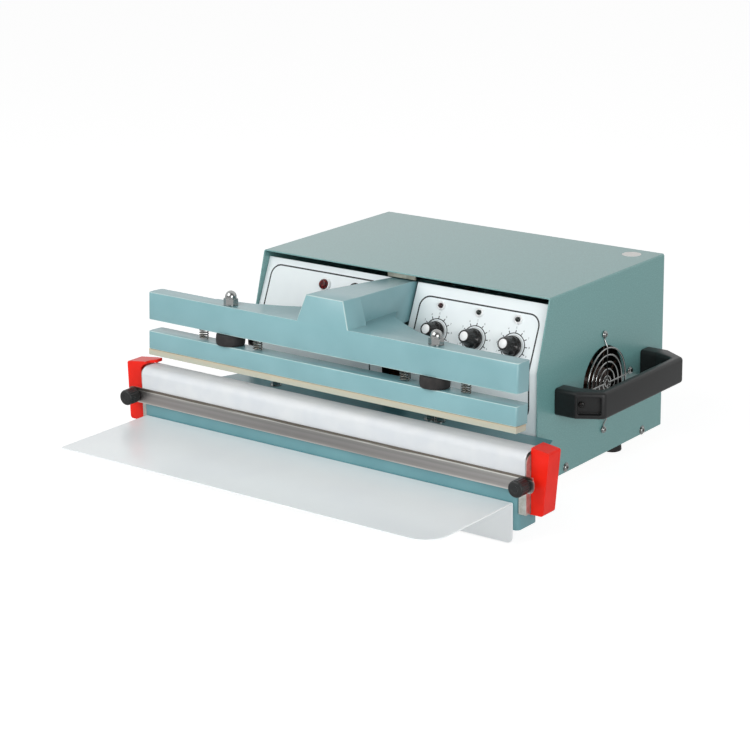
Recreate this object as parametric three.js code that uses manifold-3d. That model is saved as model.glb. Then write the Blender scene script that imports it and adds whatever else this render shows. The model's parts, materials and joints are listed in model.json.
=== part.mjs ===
// Head of a magnet-driven bag sealer: a heated lower jaw, a sprung upper jaw on a pivoting arm, and a housing
// with the timers, transformer and solenoid. Millimetres, +Z up. X runs along the jaws. The piece functions
// count Y back from the housing's top front edge and Z up from the table; jaws lie at negative Y.
// The arm's pieces are written with the jaws shut, and one group turns them open about the pivot.
import * as THREE from "three";
import { mergeVertices } from "three/addons/utils/BufferGeometryUtils.js";
import Module from "manifold-3d";

const wasm = await Module();
wasm.setup();

// Clearances and cuts
const SEAT_GAP = 0.3;
const RUN_GAP = 0.5;
const OVERRUN = 6;
const WELD = 1e-3;

// Housing of folded steel sheet
const FOOT_HEIGHT = 14;
const COVER_WIDTH = 361.2;
const COVER_DEPTH = 217.1;
const COVER_HEIGHT = 186.9;
const COVER_SHEET = 1.2;
const NOSE_REACH = 21.3;
const NOSE_HEIGHT = 116;
const BASE_SHEET = 1.5;
const BASE_FLANGE = 20;
const TONGUE_WIDTH = 350;
const TONGUE_UNDER_JAW = 20.5;
const FOOT_RADIUS = 10;
const FOOT_INSET = 19.6;
const REAR_FOOT_INSET = 66;
const FRONT_FOOT_REACH = 95;

// Front panels: upright below the bend, leaning back above it
const PANEL_SHEET = 1.5;
const PANEL_SETBACK = 1.8;
const PANEL_LEAN = THREE.MathUtils.degToRad(23);
const PANEL_TOP_DROP = 8.6;
const PANEL_FLANGE = 8;
const SLOT_WIDTH = 34;
const BRIDGE_WIDTH = 35;
const BRIDGE_DEPTH = 2;
const BRIDGE_DROP = 4.6;

// Rear panel with its sockets and louvres
const REAR_SHEET = 1.2;
const REAR_SETBACK = 0.4;
const LOUVRE_COUNT = 8;
const LOUVRE_LENGTH = 50;
const LOUVRE_HEIGHT = 3;
const LOUVRE_PITCH = 9;
const SOCKET_HEIGHT = 40;
const SOCKET_SPREAD = 110;
const INLET_WIDTH = 50;
const INLET_HEIGHT = 24;
const INLET_FLANGE = 2.6;
const INLET_DEPTH = 24;
const INLET_HOLE_WIDTH = 25;
const INLET_HOLE_HEIGHT = 17;
const INLET_WALL = 1.5;
const FOOT_SOCKET_RADIUS = 9.5;
const FOOT_SOCKET_BORE = 6.2;
const FOOT_SOCKET_WALL = 1.4;
const FOOT_SOCKET_DEPTH = 16;

// Controls on the panels, placed from the bend along the slope
const DIAL_PITCH = 46.5;
const DIAL_RISE = 21;
const LAMP_RISE = 48;
const BUTTON_OFFSET = 39.5;
const KNOB_SKIRT_RADIUS = 10.5;
const KNOB_GRIP_RADIUS = 6.5;
const KNOB_SKIRT = 2.4;
const KNOB_SHOULDER = 5.8;
const KNOB_HEIGHT = 18.2;
const KNOB_EDGE = 0.7;
const SPINDLE_RADIUS = 3;
const BOARD_DEPTH = 24;
const BOARD_SHEET = 1.6;
const BOARD_MARGIN = 13;
const BOARD_LOW = 6;
const BOARD_HIGH = 60;
const POT_RADIUS = 8;
const POT_HEIGHT = 11;
const STANDOFF_RADIUS = 3;
const LED_RADIUS = 2.5;
const LED_FLANGE = 0.7;
const LED_HEIGHT = 4.5;
const LED_BODY = 5;
const LENS_RADIUS = 5.3;
const LENS_HEIGHT = 6;
const BEZEL_WALL = 1.1;
const BEZEL_HEIGHT = 2.6;
const BEZEL_FLOOR = 1;
const BARREL_RADIUS = 5.2;
const BARREL_BORE = 3.9;
const BARREL_DEPTH = 16;
const BUTTON_RADIUS = 5.2;
const BUTTON_HEIGHT = 4;
const BUTTON_CAP_DEPTH = 3.5;
const BUTTON_TRAVEL = 2.5;
const BUTTON_STEM_RADIUS = 2;
const BUTTON_STEM = 7.5;
const SWITCH_RIM = 7.4;
const SWITCH_RADIUS = 6.4;
const SWITCH_RISE = 2;
const SWITCH_DEPTH = 19;

// Lower jaw casting with its deck
const JAW_REACH = 137.2;
const JAW_LENGTH = 472;
const JAW_HEIGHT = 76;
const JAW_FOOT_DEPTH = 32.7;
const JAW_TOP_DEPTH = 25.2;
const JAW_CROWN = 8;
const JAW_CORNER = 5;
const JAW_EDGE = 7.5;
const DECK_HEIGHT = 52;
const DECK_SHEET = 8;
const DECK_GAP = 0.9;
const DECK_TAPER = 37;
const BRACKET_SHEET = 3;
const BRACKET_WIDTH = 60;
const BRACKET_SPREAD = 110;
const BRACKET_FOOT = 32;

// Layers on the jaw
const INSULATION = 0.8;
const INSULATION_WIDTH = 15;
const ELEMENT = 0.4;
const ELEMENT_WIDTH = 5;
const CLOTH = 0.6;
const CLOTH_DROP = 38;
const CLOTH_TOP = 23.5;
const STRIP_OVERHANG = 18.8;
const STRIP_HEIGHT = 15.9;
const STRIP_SHEET = 1.5;
const STRIP_CORNER = 6;
const STRIP_RISE = 42.3;
const STRIP_KNOB_OVERHANG = 8.5;
const STRIP_KNOB_RADIUS = 8.3;
const STRIP_KNOB_DEPTH = 16;
const STRIP_KNOB_FLUTES = 16;
const STRIP_KNOB_GROOVE = 0.4;
const STRIP_SCREW_RADIUS = 2.2;
const STRIP_SCREW_LENGTH = 9;
const TERMINAL_WIDTH = 8.5;
const TERMINAL_DEPTH = 15.1;
const TERMINAL_RISE = 19;
const TERMINAL_DROP = 1;
const TERMINAL_NECK = 4.4;
const LEFT_POST_SETBACK = 7.5;
const CLOTH_OVERHANG = 8.2;
const LUG_WIDTH = 14.7;
const LUG_SHEET = 3;
const LUG_HEIGHT = 13;
const CAP_WIDTH = 19.5;
const CAP_RIGHT_OFFSET = 2.8;
const CAP_RIGHT_LEAN = 6.3;
const CAP_LEFT_OFFSET = 8.2;
const CAP_LEFT_LEAN = 1;
const CAP_DEPTH = 20;
const CAP_SETBACK = 7.8;
const CAP_RISE = 18;
const CAP_HEIGHT = 63;
const CAP_PITCH_SHARE = 0.127;
const CAP_EAVE = 2.5;
const CAP_LIP = 13.2;
const CAP_LIP_GAP = 1.2;
const CAP_LIP_FRONT = 11;
const CAP_LIP_REAR = 1;
const CAP_FILLET = 8;
const CAP_CORNER = 3;

// Work shelf
const SHELF_SHEET = 1.5;
const SHELF_WIDTH = 461;
const SHELF_REACH = 128.6;
const SHELF_HEIGHT = 28.2;
const SHELF_FLANGE = 41;
const SHELF_LEFT_CORNER = 3;
const SHELF_RIGHT_CORNER = 24;
const SHELF_FLANGE_CORNER = 6;

// Pivoting arm, sizes with the jaws shut
const OPEN_ANGLE = THREE.MathUtils.degToRad(3.5);
const PIVOT_DEPTH = 93;
const PIVOT_HEIGHT = 136;
const PIVOT_RADIUS = 6;
const PIVOT_BOSS = 16;
const PIVOT_HEAD = 9;
const PIVOT_HEAD_WIDTH = 3;
const PIVOT_PLATE = 4;
const PIVOT_PLATE_DEPTH = 36;
const PIVOT_PLATE_FOOT = 20;
const PIVOT_PLATE_ABOVE = 18;
const BAR_LENGTH = 460;
const BAR_REACH = 130;
const BAR_DEPTH = 20.7;
const BAR_HEIGHT = 29.2;
const BAR_CORNER = 2.5;
const HUMP_BASE = 64;
const HUMP_TOP = 46;
const HUMP_HEIGHT = 27;
const HUMP_RAKE = 3.2;
const HUMP_DEPTH = 30;
const SPINE_FRONT_WIDTH = 40;
const SPINE_SLOT_WIDTH = 28;
const SPINE_REAR_WIDTH = 24;
const SPINE_FALL = 1;
const SPINE_DEPTH = 40;
const FLARE_HEIGHT = 20;
const FLARE_REACH = 84;
const FLARE_X_SHARES = [0.674, 0.504, 0.365, 0.235, 0.13];
const FLARE_Y_SHARES = [0.02, 0.1, 0.265, 0.49, 0.7];
const TAIL_REACH = 38;
const TAIL_UNDER = 10;
const TAIL_HEIGHT = 18;
const FLOAT_GAP = 11.9;
const PRESS_BAR_HEIGHT = 19;
const PRESS_BAR_SETBACK = 0.1;
const SILICONE_HEIGHT = 6.5;
const SILICONE_DEPTH = 16.7;
const SILICONE_SETBACK = 0.6;
const STUD_SPREAD = 128;
const STUD_SHIFT = 2;
const STUD_RADIUS = 4;
const STUD_IN_BAR = 12;
const WASHER_RADIUS = 7.5;
const WASHER_SHEET = 0.8;
const NUT_ACROSS = 13;
const NUT_HEIGHT = 6;
const DOME_RADIUS = 5.9;
const BUSH_RADIUS = 15;
const BUSH_EDGE = 1.2;
const SPRING_OFFSET = 36;
const SPRING_RADIUS = 4.4;
const SPRING_WIRE = 1.3;
const SPRING_CURLS = 4;

// Solenoid, return spring and transformer
const PULL_DEPTH = 45;
const PULL_DROP = 17;
const PULL_PIN_RADIUS = 3;
const PULL_PIN_LENGTH = 22;
const PULL_LUG_WIDTH = 8;
const PULL_LUG_DEPTH = 14;
const PLUNGER_RADIUS = 11;
const PLUNGER_LENGTH = 80;
const FORK_HEIGHT = 22;
const FORK_DEPTH = 18;
const FORK_WIDTH = 20;
const SOLENOID_WIDTH = 64;
const SOLENOID_DEPTH = 50;
const SOLENOID_HEIGHT = 92;
const SOLENOID_FRAME = 7;
const COIL_RADIUS = 20;
const RETURN_OFFSET = 30;
const RETURN_RADIUS = 6;
const RETURN_WIRE = 1.6;
const RETURN_CURLS = 11;
const RETURN_LUG_HEIGHT = 44;
const RETURN_LUG_WIDTH = 16;
const RETURN_LUG_SHEET = 4;
const TRANSFORMER_WALL_GAP = 13.1;
const TRANSFORMER_Y = 125;
const CORE_WIDTH = 84;
const CORE_DEPTH = 66;
const CORE_HEIGHT = 72;
const WINDING_WIDTH = 52;
const WINDING_DEPTH = 92;
const WINDING_HEIGHT = 46;
const CORE_FOOT = 12;
const CORE_FOOT_SHEET = 2.5;

// Fan on the right wall, turned 45 degrees
const FAN_DEPTH_AT = 99.5;
const FAN_HEIGHT_AT = 77;
const FAN_SIZE = 80;
const FAN_THICKNESS = 25;
const FAN_CORNER = 4;
const FAN_BORE = 38;
const FAN_HUB = 16;
const FAN_HUB_DEPTH = 8;
const FAN_STRUT = 4;
const FAN_SCREW_CIRCLE = 50.5;
const FAN_SCREW_RADIUS = 2.2;
const BLADE_COUNT = 7;
const BLADE_THICKNESS = 1.6;
const BLADE_WIDTH = 13;
const BLADE_TIP_GAP = 1.2;
const BLADE_PITCH = THREE.MathUtils.degToRad(38);
const AXLE_RADIUS = 2.5;
const AXLE_LENGTH = 6;
const GUARD_RINGS = 5;
const GUARD_PITCH = 7.24;
const GUARD_WIRE = 1;
const GUARD_STANDOFF = 4;
const GUARD_EYE = 3.6;
const GUARD_EYE_SHEET = 2;

// Handles
const HANDLE_FRONT = 8.6;
const HANDLE_LENGTH = 181.8;
const HANDLE_BASE = 19;
const HANDLE_LEG = 23.6;
const HANDLE_REACH = 49.4;
const HANDLE_SHOULDER = 15.4;
const HANDLE_GRIP = 10;
const HANDLE_HEIGHT = 27.8;
const HANDLE_RISE = 65.6;
const HANDLE_CORNER = 5;

// Fineness of round faces
const ROUND = 24;
const SMALL_ROUND = 12;
const ARC_STEPS = 5;
const CURL_STEPS = 8;
const WIRE_SIDES = 5;

// Levels and places that several pieces share
const BASE_TOP = FOOT_HEIGHT + BASE_SHEET;
const COVER_TOP = FOOT_HEIGHT + COVER_HEIGHT;
const COVER_UNDER = COVER_TOP - COVER_SHEET;
const INNER_HALF = COVER_WIDTH / 2 - COVER_SHEET - SEAT_GAP;
const TRANSFORMER_X = INNER_HALF - TRANSFORMER_WALL_GAP - CORE_FOOT - CORE_WIDTH / 2;
const PANEL_Y = PANEL_SETBACK - NOSE_REACH;
const PANEL_BEND_Z = FOOT_HEIGHT + NOSE_HEIGHT;
const PANEL_MIDDLE = (INNER_HALF + SLOT_WIDTH / 2) / 2;
const REAR_Y = COVER_DEPTH - REAR_SETBACK;
const JAW_FRONT = -JAW_REACH;
const JAW_BOTTOM = BASE_TOP + SEAT_GAP;
const JAW_TOP = JAW_BOTTOM + JAW_HEIGHT;
const JAW_END = JAW_LENGTH / 2;
const INSULATION_TOP = JAW_TOP + SEAT_GAP + INSULATION;
const ELEMENT_TOP = INSULATION_TOP + SEAT_GAP + ELEMENT;
const CLOTH_UNDER = ELEMENT_TOP + SEAT_GAP;
const CLOTH_LEVEL = CLOTH_UNDER + CLOTH;
const CLOTH_FACE = JAW_FRONT - SEAT_GAP - CLOTH;
const STRIP_FACE = CLOTH_FACE - SEAT_GAP - STRIP_SHEET;
const STRIP_BOTTOM = FOOT_HEIGHT + STRIP_RISE;
const STRIP_MIDDLE = STRIP_BOTTOM + STRIP_HEIGHT / 2;
const STRIP_KNOB_X = JAW_END + STRIP_KNOB_OVERHANG;
const BAR_FRONT = -BAR_REACH;
const BAR_REAR = BAR_FRONT + BAR_DEPTH;
const BAR_MIDDLE = (BAR_FRONT + BAR_REAR) / 2;
const STUD_PLACES = [["left", STUD_SHIFT - STUD_SPREAD], ["right", STUD_SHIFT + STUD_SPREAD]];
const SILICONE_BOTTOM = CLOTH_LEVEL + SEAT_GAP;
const PRESS_BAR_BOTTOM = SILICONE_BOTTOM + SILICONE_HEIGHT + SEAT_GAP;
const PRESS_BAR_TOP = PRESS_BAR_BOTTOM + PRESS_BAR_HEIGHT;
const BAR_BOTTOM = PRESS_BAR_TOP + FLOAT_GAP;
const BAR_TOP = BAR_BOTTOM + BAR_HEIGHT;
const HUMP_TOP_Z = BAR_TOP + HUMP_HEIGHT;
const PIVOT_Z = FOOT_HEIGHT + PIVOT_HEIGHT;
const PULL_PIN_Z = PIVOT_Z - PULL_DROP;
const TAIL_BOTTOM = PIVOT_Z - TAIL_UNDER;
const RETURN_LUG_TOP = BASE_TOP + RETURN_LUG_HEIGHT;
const FRONT_MOST = JAW_FRONT - SEAT_GAP - SHELF_REACH;
const REAR_MOST = COVER_DEPTH - REAR_SETBACK + SEAT_GAP + INLET_FLANGE;

// Joins, cuts and keeps what is common to closed geometries
function solid(geometry) {
  const bare = geometry.index ? geometry.toNonIndexed() : geometry.clone();
  bare.deleteAttribute("normal");
  bare.deleteAttribute("uv");
  const merged = mergeVertices(bare, WELD);
  const mesh = new wasm.Mesh({
    numProp: 3,
    vertProperties: merged.attributes.position.array,
    triVerts: new Uint32Array(merged.index.array),
  });
  return new wasm.Manifold(mesh);
}

function geometryOf(body) {
  const mesh = body.getMesh();
  const geometry = new THREE.BufferGeometry();
  geometry.setAttribute("position", new THREE.BufferAttribute(mesh.vertProperties, 3));
  geometry.setIndex(new THREE.BufferAttribute(mesh.triVerts, 1));
  geometry.computeVertexNormals();
  return geometry;
}

function join(...pieces) {
  return geometryOf(pieces.map(solid).reduce((whole, piece) => whole.add(piece)));
}

function cut(body, ...tools) {
  return geometryOf(tools.map(solid).reduce((whole, tool) => whole.subtract(tool), solid(body)));
}

function common(first, second) {
  return geometryOf(solid(first).intersect(solid(second)));
}

// Corners given as [a, b] or [a, b, radius], with each radius drawn as a true arc
function rounded(corners) {
  const points = [];
  corners.forEach(([a, b, radius = 0], i) => {
    const corner = new THREE.Vector2(a, b);
    if (radius === 0) {
      points.push(corner);
      return;
    }
    const [beforeA, beforeB] = corners.at(i - 1);
    const [afterA, afterB] = corners[(i + 1) % corners.length];
    const back = new THREE.Vector2(beforeA, beforeB).sub(corner).normalize();
    const ahead = new THREE.Vector2(afterA, afterB).sub(corner).normalize();
    const halfAngle = Math.acos(back.dot(ahead)) / 2;
    const centre = back.clone().add(ahead).normalize();
    centre.multiplyScalar(radius / Math.sin(halfAngle)).add(corner);
    const start = back.multiplyScalar(radius / Math.tan(halfAngle)).add(corner).sub(centre);
    const end = ahead.multiplyScalar(radius / Math.tan(halfAngle)).add(corner).sub(centre);
    const sweep = Math.atan2(start.cross(end), start.dot(end));
    for (let step = 0; step <= ARC_STEPS; step += 1) {
      const spoke = start.clone().rotateAround(new THREE.Vector2(), (sweep * step) / ARC_STEPS);
      points.push(spoke.add(centre));
    }
  });
  return points;
}

// An outline of [x, y] corners, from one height to another
function plate(corners, low, high) {
  const shape = new THREE.Shape(rounded(corners));
  const geometry = new THREE.ExtrudeGeometry(shape, { depth: high - low, bevelEnabled: false });
  return geometry.translate(0, 0, low);
}

const X_AXIS = new THREE.Vector3(1, 0, 0);
const Y_AXIS = new THREE.Vector3(0, 1, 0);
const Z_AXIS = new THREE.Vector3(0, 0, 1);

// An outline of [y, z] corners, along X
function rail(corners, left, right) {
  const turn = new THREE.Matrix4().makeBasis(Y_AXIS, Z_AXIS, X_AXIS);
  return plate(corners, left, right).applyMatrix4(turn);
}

// An outline of [x, z] corners, along Y
function slab(corners, front, rear) {
  const turn = new THREE.Matrix4().makeBasis(X_AXIS, Z_AXIS, Y_AXIS.clone().negate());
  return plate(corners, -rear, -front).applyMatrix4(turn);
}

function block([left, right], [front, rear], [low, high]) {
  const geometry = new THREE.BoxGeometry(right - left, rear - front, high - low);
  return geometry.translate((left + right) / 2, (front + rear) / 2, (low + high) / 2);
}

// The range of a width set evenly about a middle
function about(middle, width) {
  return [middle - width / 2, middle + width / 2];
}

function rectangle([left, right], [low, high], radius = 0) {
  return [
    [left, low, radius],
    [right, low, radius],
    [right, high, radius],
    [left, high, radius],
  ];
}

// A profile of [radius, height] turned about Z, from the axis round to the axis
function turned(profile, segments = ROUND) {
  const points = profile.map(([radius, height]) => new THREE.Vector2(radius, height));
  return new THREE.LatheGeometry(points, segments).rotateX(Math.PI / 2);
}

function rod(radius, low, high, segments = ROUND) {
  return turned([[0, low], [radius, low], [radius, high], [0, high]], segments);
}

function alongX(geometry) {
  return geometry.rotateY(Math.PI / 2);
}

function alongY(geometry) {
  return geometry.rotateX(-Math.PI / 2);
}

// The line beside an open chain of points, for folded sheet of one thickness
function beside(chain, distance) {
  const points = chain.map(([a, b]) => new THREE.Vector2(a, b));
  const sides = points.slice(1).map((point, i) => {
    const along = point.clone().sub(points[i]).normalize();
    return new THREE.Vector2(-along.y, along.x);
  });
  return points.map((point, i) => {
    const before = sides[Math.max(i - 1, 0)];
    const after = sides[Math.min(i, sides.length - 1)];
    const mitre = before.clone().add(after).normalize();
    const moved = mitre.multiplyScalar(distance / mitre.dot(after)).add(point);
    return [moved.x, moved.y];
  });
}

function folded(chain, thickness) {
  return [...chain, ...beside(chain, thickness).reverse()];
}

// One unbroken tube of round wire along a list of points
function wire(points, radius) {
  const along = points.map((point, i) => {
    const before = points[Math.max(i - 1, 0)];
    const after = points[Math.min(i + 1, points.length - 1)];
    return after.clone().sub(before).normalize();
  });
  const start = along[0];
  const across = Math.abs(start.x) > Math.abs(start.z) ? Z_AXIS : X_AXIS;
  const side = new THREE.Vector3().crossVectors(start, across).normalize();
  const positions = [];
  points.forEach((point, i) => {
    side.addScaledVector(along[i], -side.dot(along[i])).normalize();
    for (let step = 0; step < WIRE_SIDES; step += 1) {
      const turn = (2 * Math.PI * step) / WIRE_SIDES;
      const spoke = side.clone().applyAxisAngle(along[i], turn).multiplyScalar(radius);
      positions.push(...spoke.add(point).toArray());
    }
  });
  const faces = [];
  for (let ring = 0; ring < points.length - 1; ring += 1) {
    for (let step = 0; step < WIRE_SIDES; step += 1) {
      const here = ring * WIRE_SIDES + step;
      const next = ring * WIRE_SIDES + ((step + 1) % WIRE_SIDES);
      faces.push(here, next, next + WIRE_SIDES, here, next + WIRE_SIDES, here + WIRE_SIDES);
    }
  }
  const last = (points.length - 1) * WIRE_SIDES;
  for (let step = 1; step < WIRE_SIDES - 1; step += 1) {
    faces.push(0, step + 1, step, last, last + step, last + step + 1);
  }
  const geometry = new THREE.BufferGeometry();
  geometry.setAttribute("position", new THREE.Float32BufferAttribute(positions, 3));
  geometry.setIndex(faces);
  geometry.computeVertexNormals();
  return geometry;
}

// A coil spring between two heights, each end standing straight for one wire diameter
function coil(radius, thickness, curls, low, high) {
  const bottom = low + thickness;
  const rise = high - low - 2 * thickness;
  const points = [new THREE.Vector3(radius, 0, low)];
  for (let step = 0; step <= curls * CURL_STEPS; step += 1) {
    const turn = (2 * Math.PI * step) / CURL_STEPS;
    const height = bottom + (rise * step) / (curls * CURL_STEPS);
    points.push(new THREE.Vector3(radius * Math.cos(turn), radius * Math.sin(turn), height));
  }
  points.push(points.at(-1).clone().setZ(high));
  let nearest = Infinity;
  points.forEach((point, i) => {
    points.slice(i + CURL_STEPS / 2).forEach((other) => {
      nearest = Math.min(nearest, point.distanceTo(other));
    });
  });
  console.log("least gap between a spring's curls", (nearest - thickness).toFixed(2), "mm");
  return wire(points, thickness / 2);
}

// Finishes
const finishes = {
  tealPaint: [0x86adb1, 0.55, 0.1],
  panelPaint: [0xe0e8ea, 0.5, 0],
  shelfPaint: [0xdfe5e8, 0.45, 0],
  zincSteel: [0xa9a89f, 0.4, 0.8],
  brushedSteel: [0x9c9a97, 0.35, 0.9],
  chrome: [0xc9ccce, 0.12, 1],
  ptfeCloth: [0xdfe3e5, 0.7, 0],
  siliconeRubber: [0xc2bda8, 0.75, 0],
  blackRubber: [0x1f1d1d, 0.85, 0],
  blackPlastic: [0x1f2120, 0.45, 0],
  redPlastic: [0xe8301f, 0.35, 0],
  whitePlastic: [0xe4e6e4, 0.4, 0],
  redLens: [0x8c1414, 0.15, 0],
  greenBoard: [0x2f6b45, 0.6, 0],
  copper: [0xb06a3a, 0.45, 0.7],
  darkSteel: [0x4c4f52, 0.6, 0.5],
};

function piece(name, geometry, finish) {
  const [color, roughness, metalness] = finishes[finish];
  const material = new THREE.MeshStandardMaterial({ color, roughness, metalness });
  const mesh = new THREE.Mesh(geometry, material);
  mesh.name = name;
  return mesh;
}

// A right-hand piece and its mirrored copy on the left
function pair(name, geometry, finish, leftGeometry = geometry) {
  const right = piece(name + "_right", geometry, finish);
  const left = piece(name + "_left", leftGeometry, finish);
  left.scale.x = -1;
  return [right, left];
}

// Housing
function coverGeometry() {
  const side = [
    [0, COVER_TOP],
    [-NOSE_REACH, PANEL_BEND_Z],
    [-NOSE_REACH, FOOT_HEIGHT],
    [COVER_DEPTH, FOOT_HEIGHT],
    [COVER_DEPTH, COVER_TOP],
  ];
  const outside = rail(side, -COVER_WIDTH / 2, COVER_WIDTH / 2);
  const room = block(
    about(0, COVER_WIDTH - 2 * COVER_SHEET),
    [-NOSE_REACH - OVERRUN, COVER_DEPTH + OVERRUN],
    [FOOT_HEIGHT - OVERRUN, COVER_UNDER],
  );
  const wall = COVER_WIDTH / 2;
  const fanHole = alongX(rod(FAN_BORE, wall - COVER_SHEET - OVERRUN, wall + OVERRUN));
  fanHole.translate(0, FAN_DEPTH_AT, FOOT_HEIGHT + FAN_HEIGHT_AT);
  return cut(outside, room, fanHole);
}

function baseGeometry() {
  const tongueFront = JAW_FRONT + JAW_FOOT_DEPTH - TONGUE_UNDER_JAW;
  const floor = [
    [-TONGUE_WIDTH / 2, tongueFront],
    [TONGUE_WIDTH / 2, tongueFront],
    [TONGUE_WIDTH / 2, PANEL_Y],
    [INNER_HALF, PANEL_Y],
    [INNER_HALF, REAR_Y],
    [-INNER_HALF, REAR_Y],
    [-INNER_HALF, PANEL_Y],
    [-TONGUE_WIDTH / 2, PANEL_Y],
  ];
  const flange = [
    [PANEL_Y + PANEL_FLANGE + SEAT_GAP, FOOT_HEIGHT],
    [REAR_Y - PANEL_FLANGE, FOOT_HEIGHT],
    [REAR_Y - PANEL_FLANGE, FOOT_HEIGHT + BASE_FLANGE, BASE_FLANGE / 2],
    [PANEL_Y + PANEL_FLANGE + SEAT_GAP, FOOT_HEIGHT + BASE_FLANGE, BASE_FLANGE / 2],
  ];
  const lug = block(
    about(0, RETURN_LUG_WIDTH),
    about(PIVOT_DEPTH + RETURN_OFFSET, RETURN_LUG_SHEET),
    [FOOT_HEIGHT, RETURN_LUG_TOP],
  );
  return join(
    plate(floor, FOOT_HEIGHT, BASE_TOP),
    rail(flange, INNER_HALF - BASE_SHEET, INNER_HALF),
    rail(flange, -INNER_HALF, BASE_SHEET - INNER_HALF),
    lug,
  );
}

// The outside line of a front panel in [y, z], from its top edge down
function panelLine() {
  const top = COVER_TOP - PANEL_TOP_DROP;
  const lean = (top - PANEL_BEND_Z) * Math.tan(PANEL_LEAN);
  return [
    [PANEL_Y + lean, top],
    [PANEL_Y, PANEL_BEND_Z],
    [PANEL_Y, BASE_TOP + SEAT_GAP],
  ];
}

// A tray that faces forwards: one sheet with a flange down each side
function panelTray(left, right) {
  const line = panelLine();
  const tray = rail(folded(line, PANEL_FLANGE), left, right);
  const inner = beside(line, PANEL_SHEET);
  const [topY, topZ] = inner[0];
  const [bottomY, bottomZ] = inner.at(-1);
  const overTop = topY + OVERRUN * Math.tan(PANEL_LEAN);
  const reachBack = [
    [overTop, topZ + OVERRUN],
    inner[1],
    [bottomY, bottomZ - OVERRUN],
    [bottomY + PANEL_FLANGE + NOSE_REACH * 2, bottomZ - OVERRUN],
    [bottomY + PANEL_FLANGE + NOSE_REACH * 2, topZ + OVERRUN],
  ];
  return cut(tray, rail(reachBack, left + PANEL_SHEET, right - PANEL_SHEET));
}

// Moves a geometry made in the panel's own frame (across, up the slope, outward) to its place
const slopeFrame = new THREE.Matrix4()
  .makeRotationX(Math.PI / 2 - PANEL_LEAN)
  .setPosition(0, PANEL_Y, PANEL_BEND_Z);

function panelHole(radius, across, rise) {
  const hole = rod(radius, -PANEL_FLANGE, OVERRUN, SMALL_ROUND);
  return hole.translate(across, rise, 0).applyMatrix4(slopeFrame);
}

function rightPanelGeometry() {
  const holes = [-DIAL_PITCH, 0, DIAL_PITCH].flatMap((offset) => [
    panelHole(SPINDLE_RADIUS + RUN_GAP, PANEL_MIDDLE + offset, DIAL_RISE),
    panelHole(LED_RADIUS + SEAT_GAP, PANEL_MIDDLE + offset, LAMP_RISE),
  ]);
  return cut(panelTray(SLOT_WIDTH / 2, INNER_HALF), ...holes);
}

function leftPanelGeometry() {
  return cut(
    panelTray(-INNER_HALF, -SLOT_WIDTH / 2),
    panelHole(BARREL_RADIUS + SEAT_GAP, -PANEL_MIDDLE, LAMP_RISE),
    panelHole(SWITCH_RADIUS + SEAT_GAP, BUTTON_OFFSET - PANEL_MIDDLE, LAMP_RISE),
  );
}

function bridgeGeometry() {
  return block(
    about(0, BRIDGE_WIDTH),
    [COVER_SHEET, COVER_SHEET + BRIDGE_DEPTH],
    [COVER_UNDER - SEAT_GAP - BRIDGE_DROP, COVER_UNDER - SEAT_GAP],
  );
}

function rearPanelGeometry() {
  const front = REAR_Y - REAR_SHEET;
  const sheet = block(about(0, 2 * INNER_HALF), [front, REAR_Y], [
    BASE_TOP + SEAT_GAP,
    COVER_UNDER - SEAT_GAP,
  ]);
  const through = [front - OVERRUN, REAR_Y + OVERRUN];
  const socketZ = FOOT_HEIGHT + SOCKET_HEIGHT;
  const inletWidth = INLET_HOLE_WIDTH + 2 * (INLET_WALL + SEAT_GAP);
  const inletHeight = INLET_HOLE_HEIGHT + 2 * (INLET_WALL + SEAT_GAP);
  const inletHole = block(about(SOCKET_SPREAD, inletWidth), through, about(socketZ, inletHeight));
  const socketHole = alongY(rod(FOOT_SOCKET_BORE + FOOT_SOCKET_WALL + SEAT_GAP, ...through));
  socketHole.translate(-SOCKET_SPREAD, 0, socketZ);
  const louvres = [];
  for (let row = 0; row < LOUVRE_COUNT; row += 1) {
    const height = COVER_TOP - BASE_FLANGE - LOUVRE_PITCH * (row + 1);
    [-SOCKET_SPREAD, SOCKET_SPREAD].forEach((x) => {
      const corners = rectangle(about(x, LOUVRE_LENGTH), about(height, LOUVRE_HEIGHT));
      louvres.push(slab(corners, ...through));
    });
  }
  return cut(sheet, inletHole, socketHole, ...louvres);
}

function inletGeometry() {
  const face = REAR_Y + SEAT_GAP + INLET_FLANGE;
  const z = FOOT_HEIGHT + SOCKET_HEIGHT;
  const flange = slab(
    rectangle(about(SOCKET_SPREAD, INLET_WIDTH), about(z, INLET_HEIGHT), INLET_HEIGHT / 4),
    face - INLET_FLANGE,
    face,
  );
  const body = block(
    about(SOCKET_SPREAD, INLET_HOLE_WIDTH + 2 * INLET_WALL),
    [face - INLET_DEPTH, face - INLET_FLANGE / 2],
    about(z, INLET_HOLE_HEIGHT + 2 * INLET_WALL),
  );
  const hollow = block(
    about(SOCKET_SPREAD, INLET_HOLE_WIDTH),
    [face - INLET_DEPTH + INLET_WALL, face + OVERRUN],
    about(z, INLET_HOLE_HEIGHT),
  );
  return cut(join(flange, body), hollow);
}

function footSocketGeometry() {
  const face = REAR_Y + SEAT_GAP + INLET_FLANGE;
  const barrel = FOOT_SOCKET_BORE + FOOT_SOCKET_WALL;
  const profile = [
    [0, face - FOOT_SOCKET_DEPTH],
    [barrel, face - FOOT_SOCKET_DEPTH],
    [barrel, face - INLET_FLANGE],
    [FOOT_SOCKET_RADIUS, face - INLET_FLANGE],
    [FOOT_SOCKET_RADIUS, face],
    [FOOT_SOCKET_BORE, face],
    [FOOT_SOCKET_BORE, face - FOOT_SOCKET_DEPTH + FOOT_SOCKET_WALL],
    [0, face - FOOT_SOCKET_DEPTH + FOOT_SOCKET_WALL],
  ];
  return alongY(turned(profile)).translate(-SOCKET_SPREAD, 0, FOOT_HEIGHT + SOCKET_HEIGHT);
}

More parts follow.
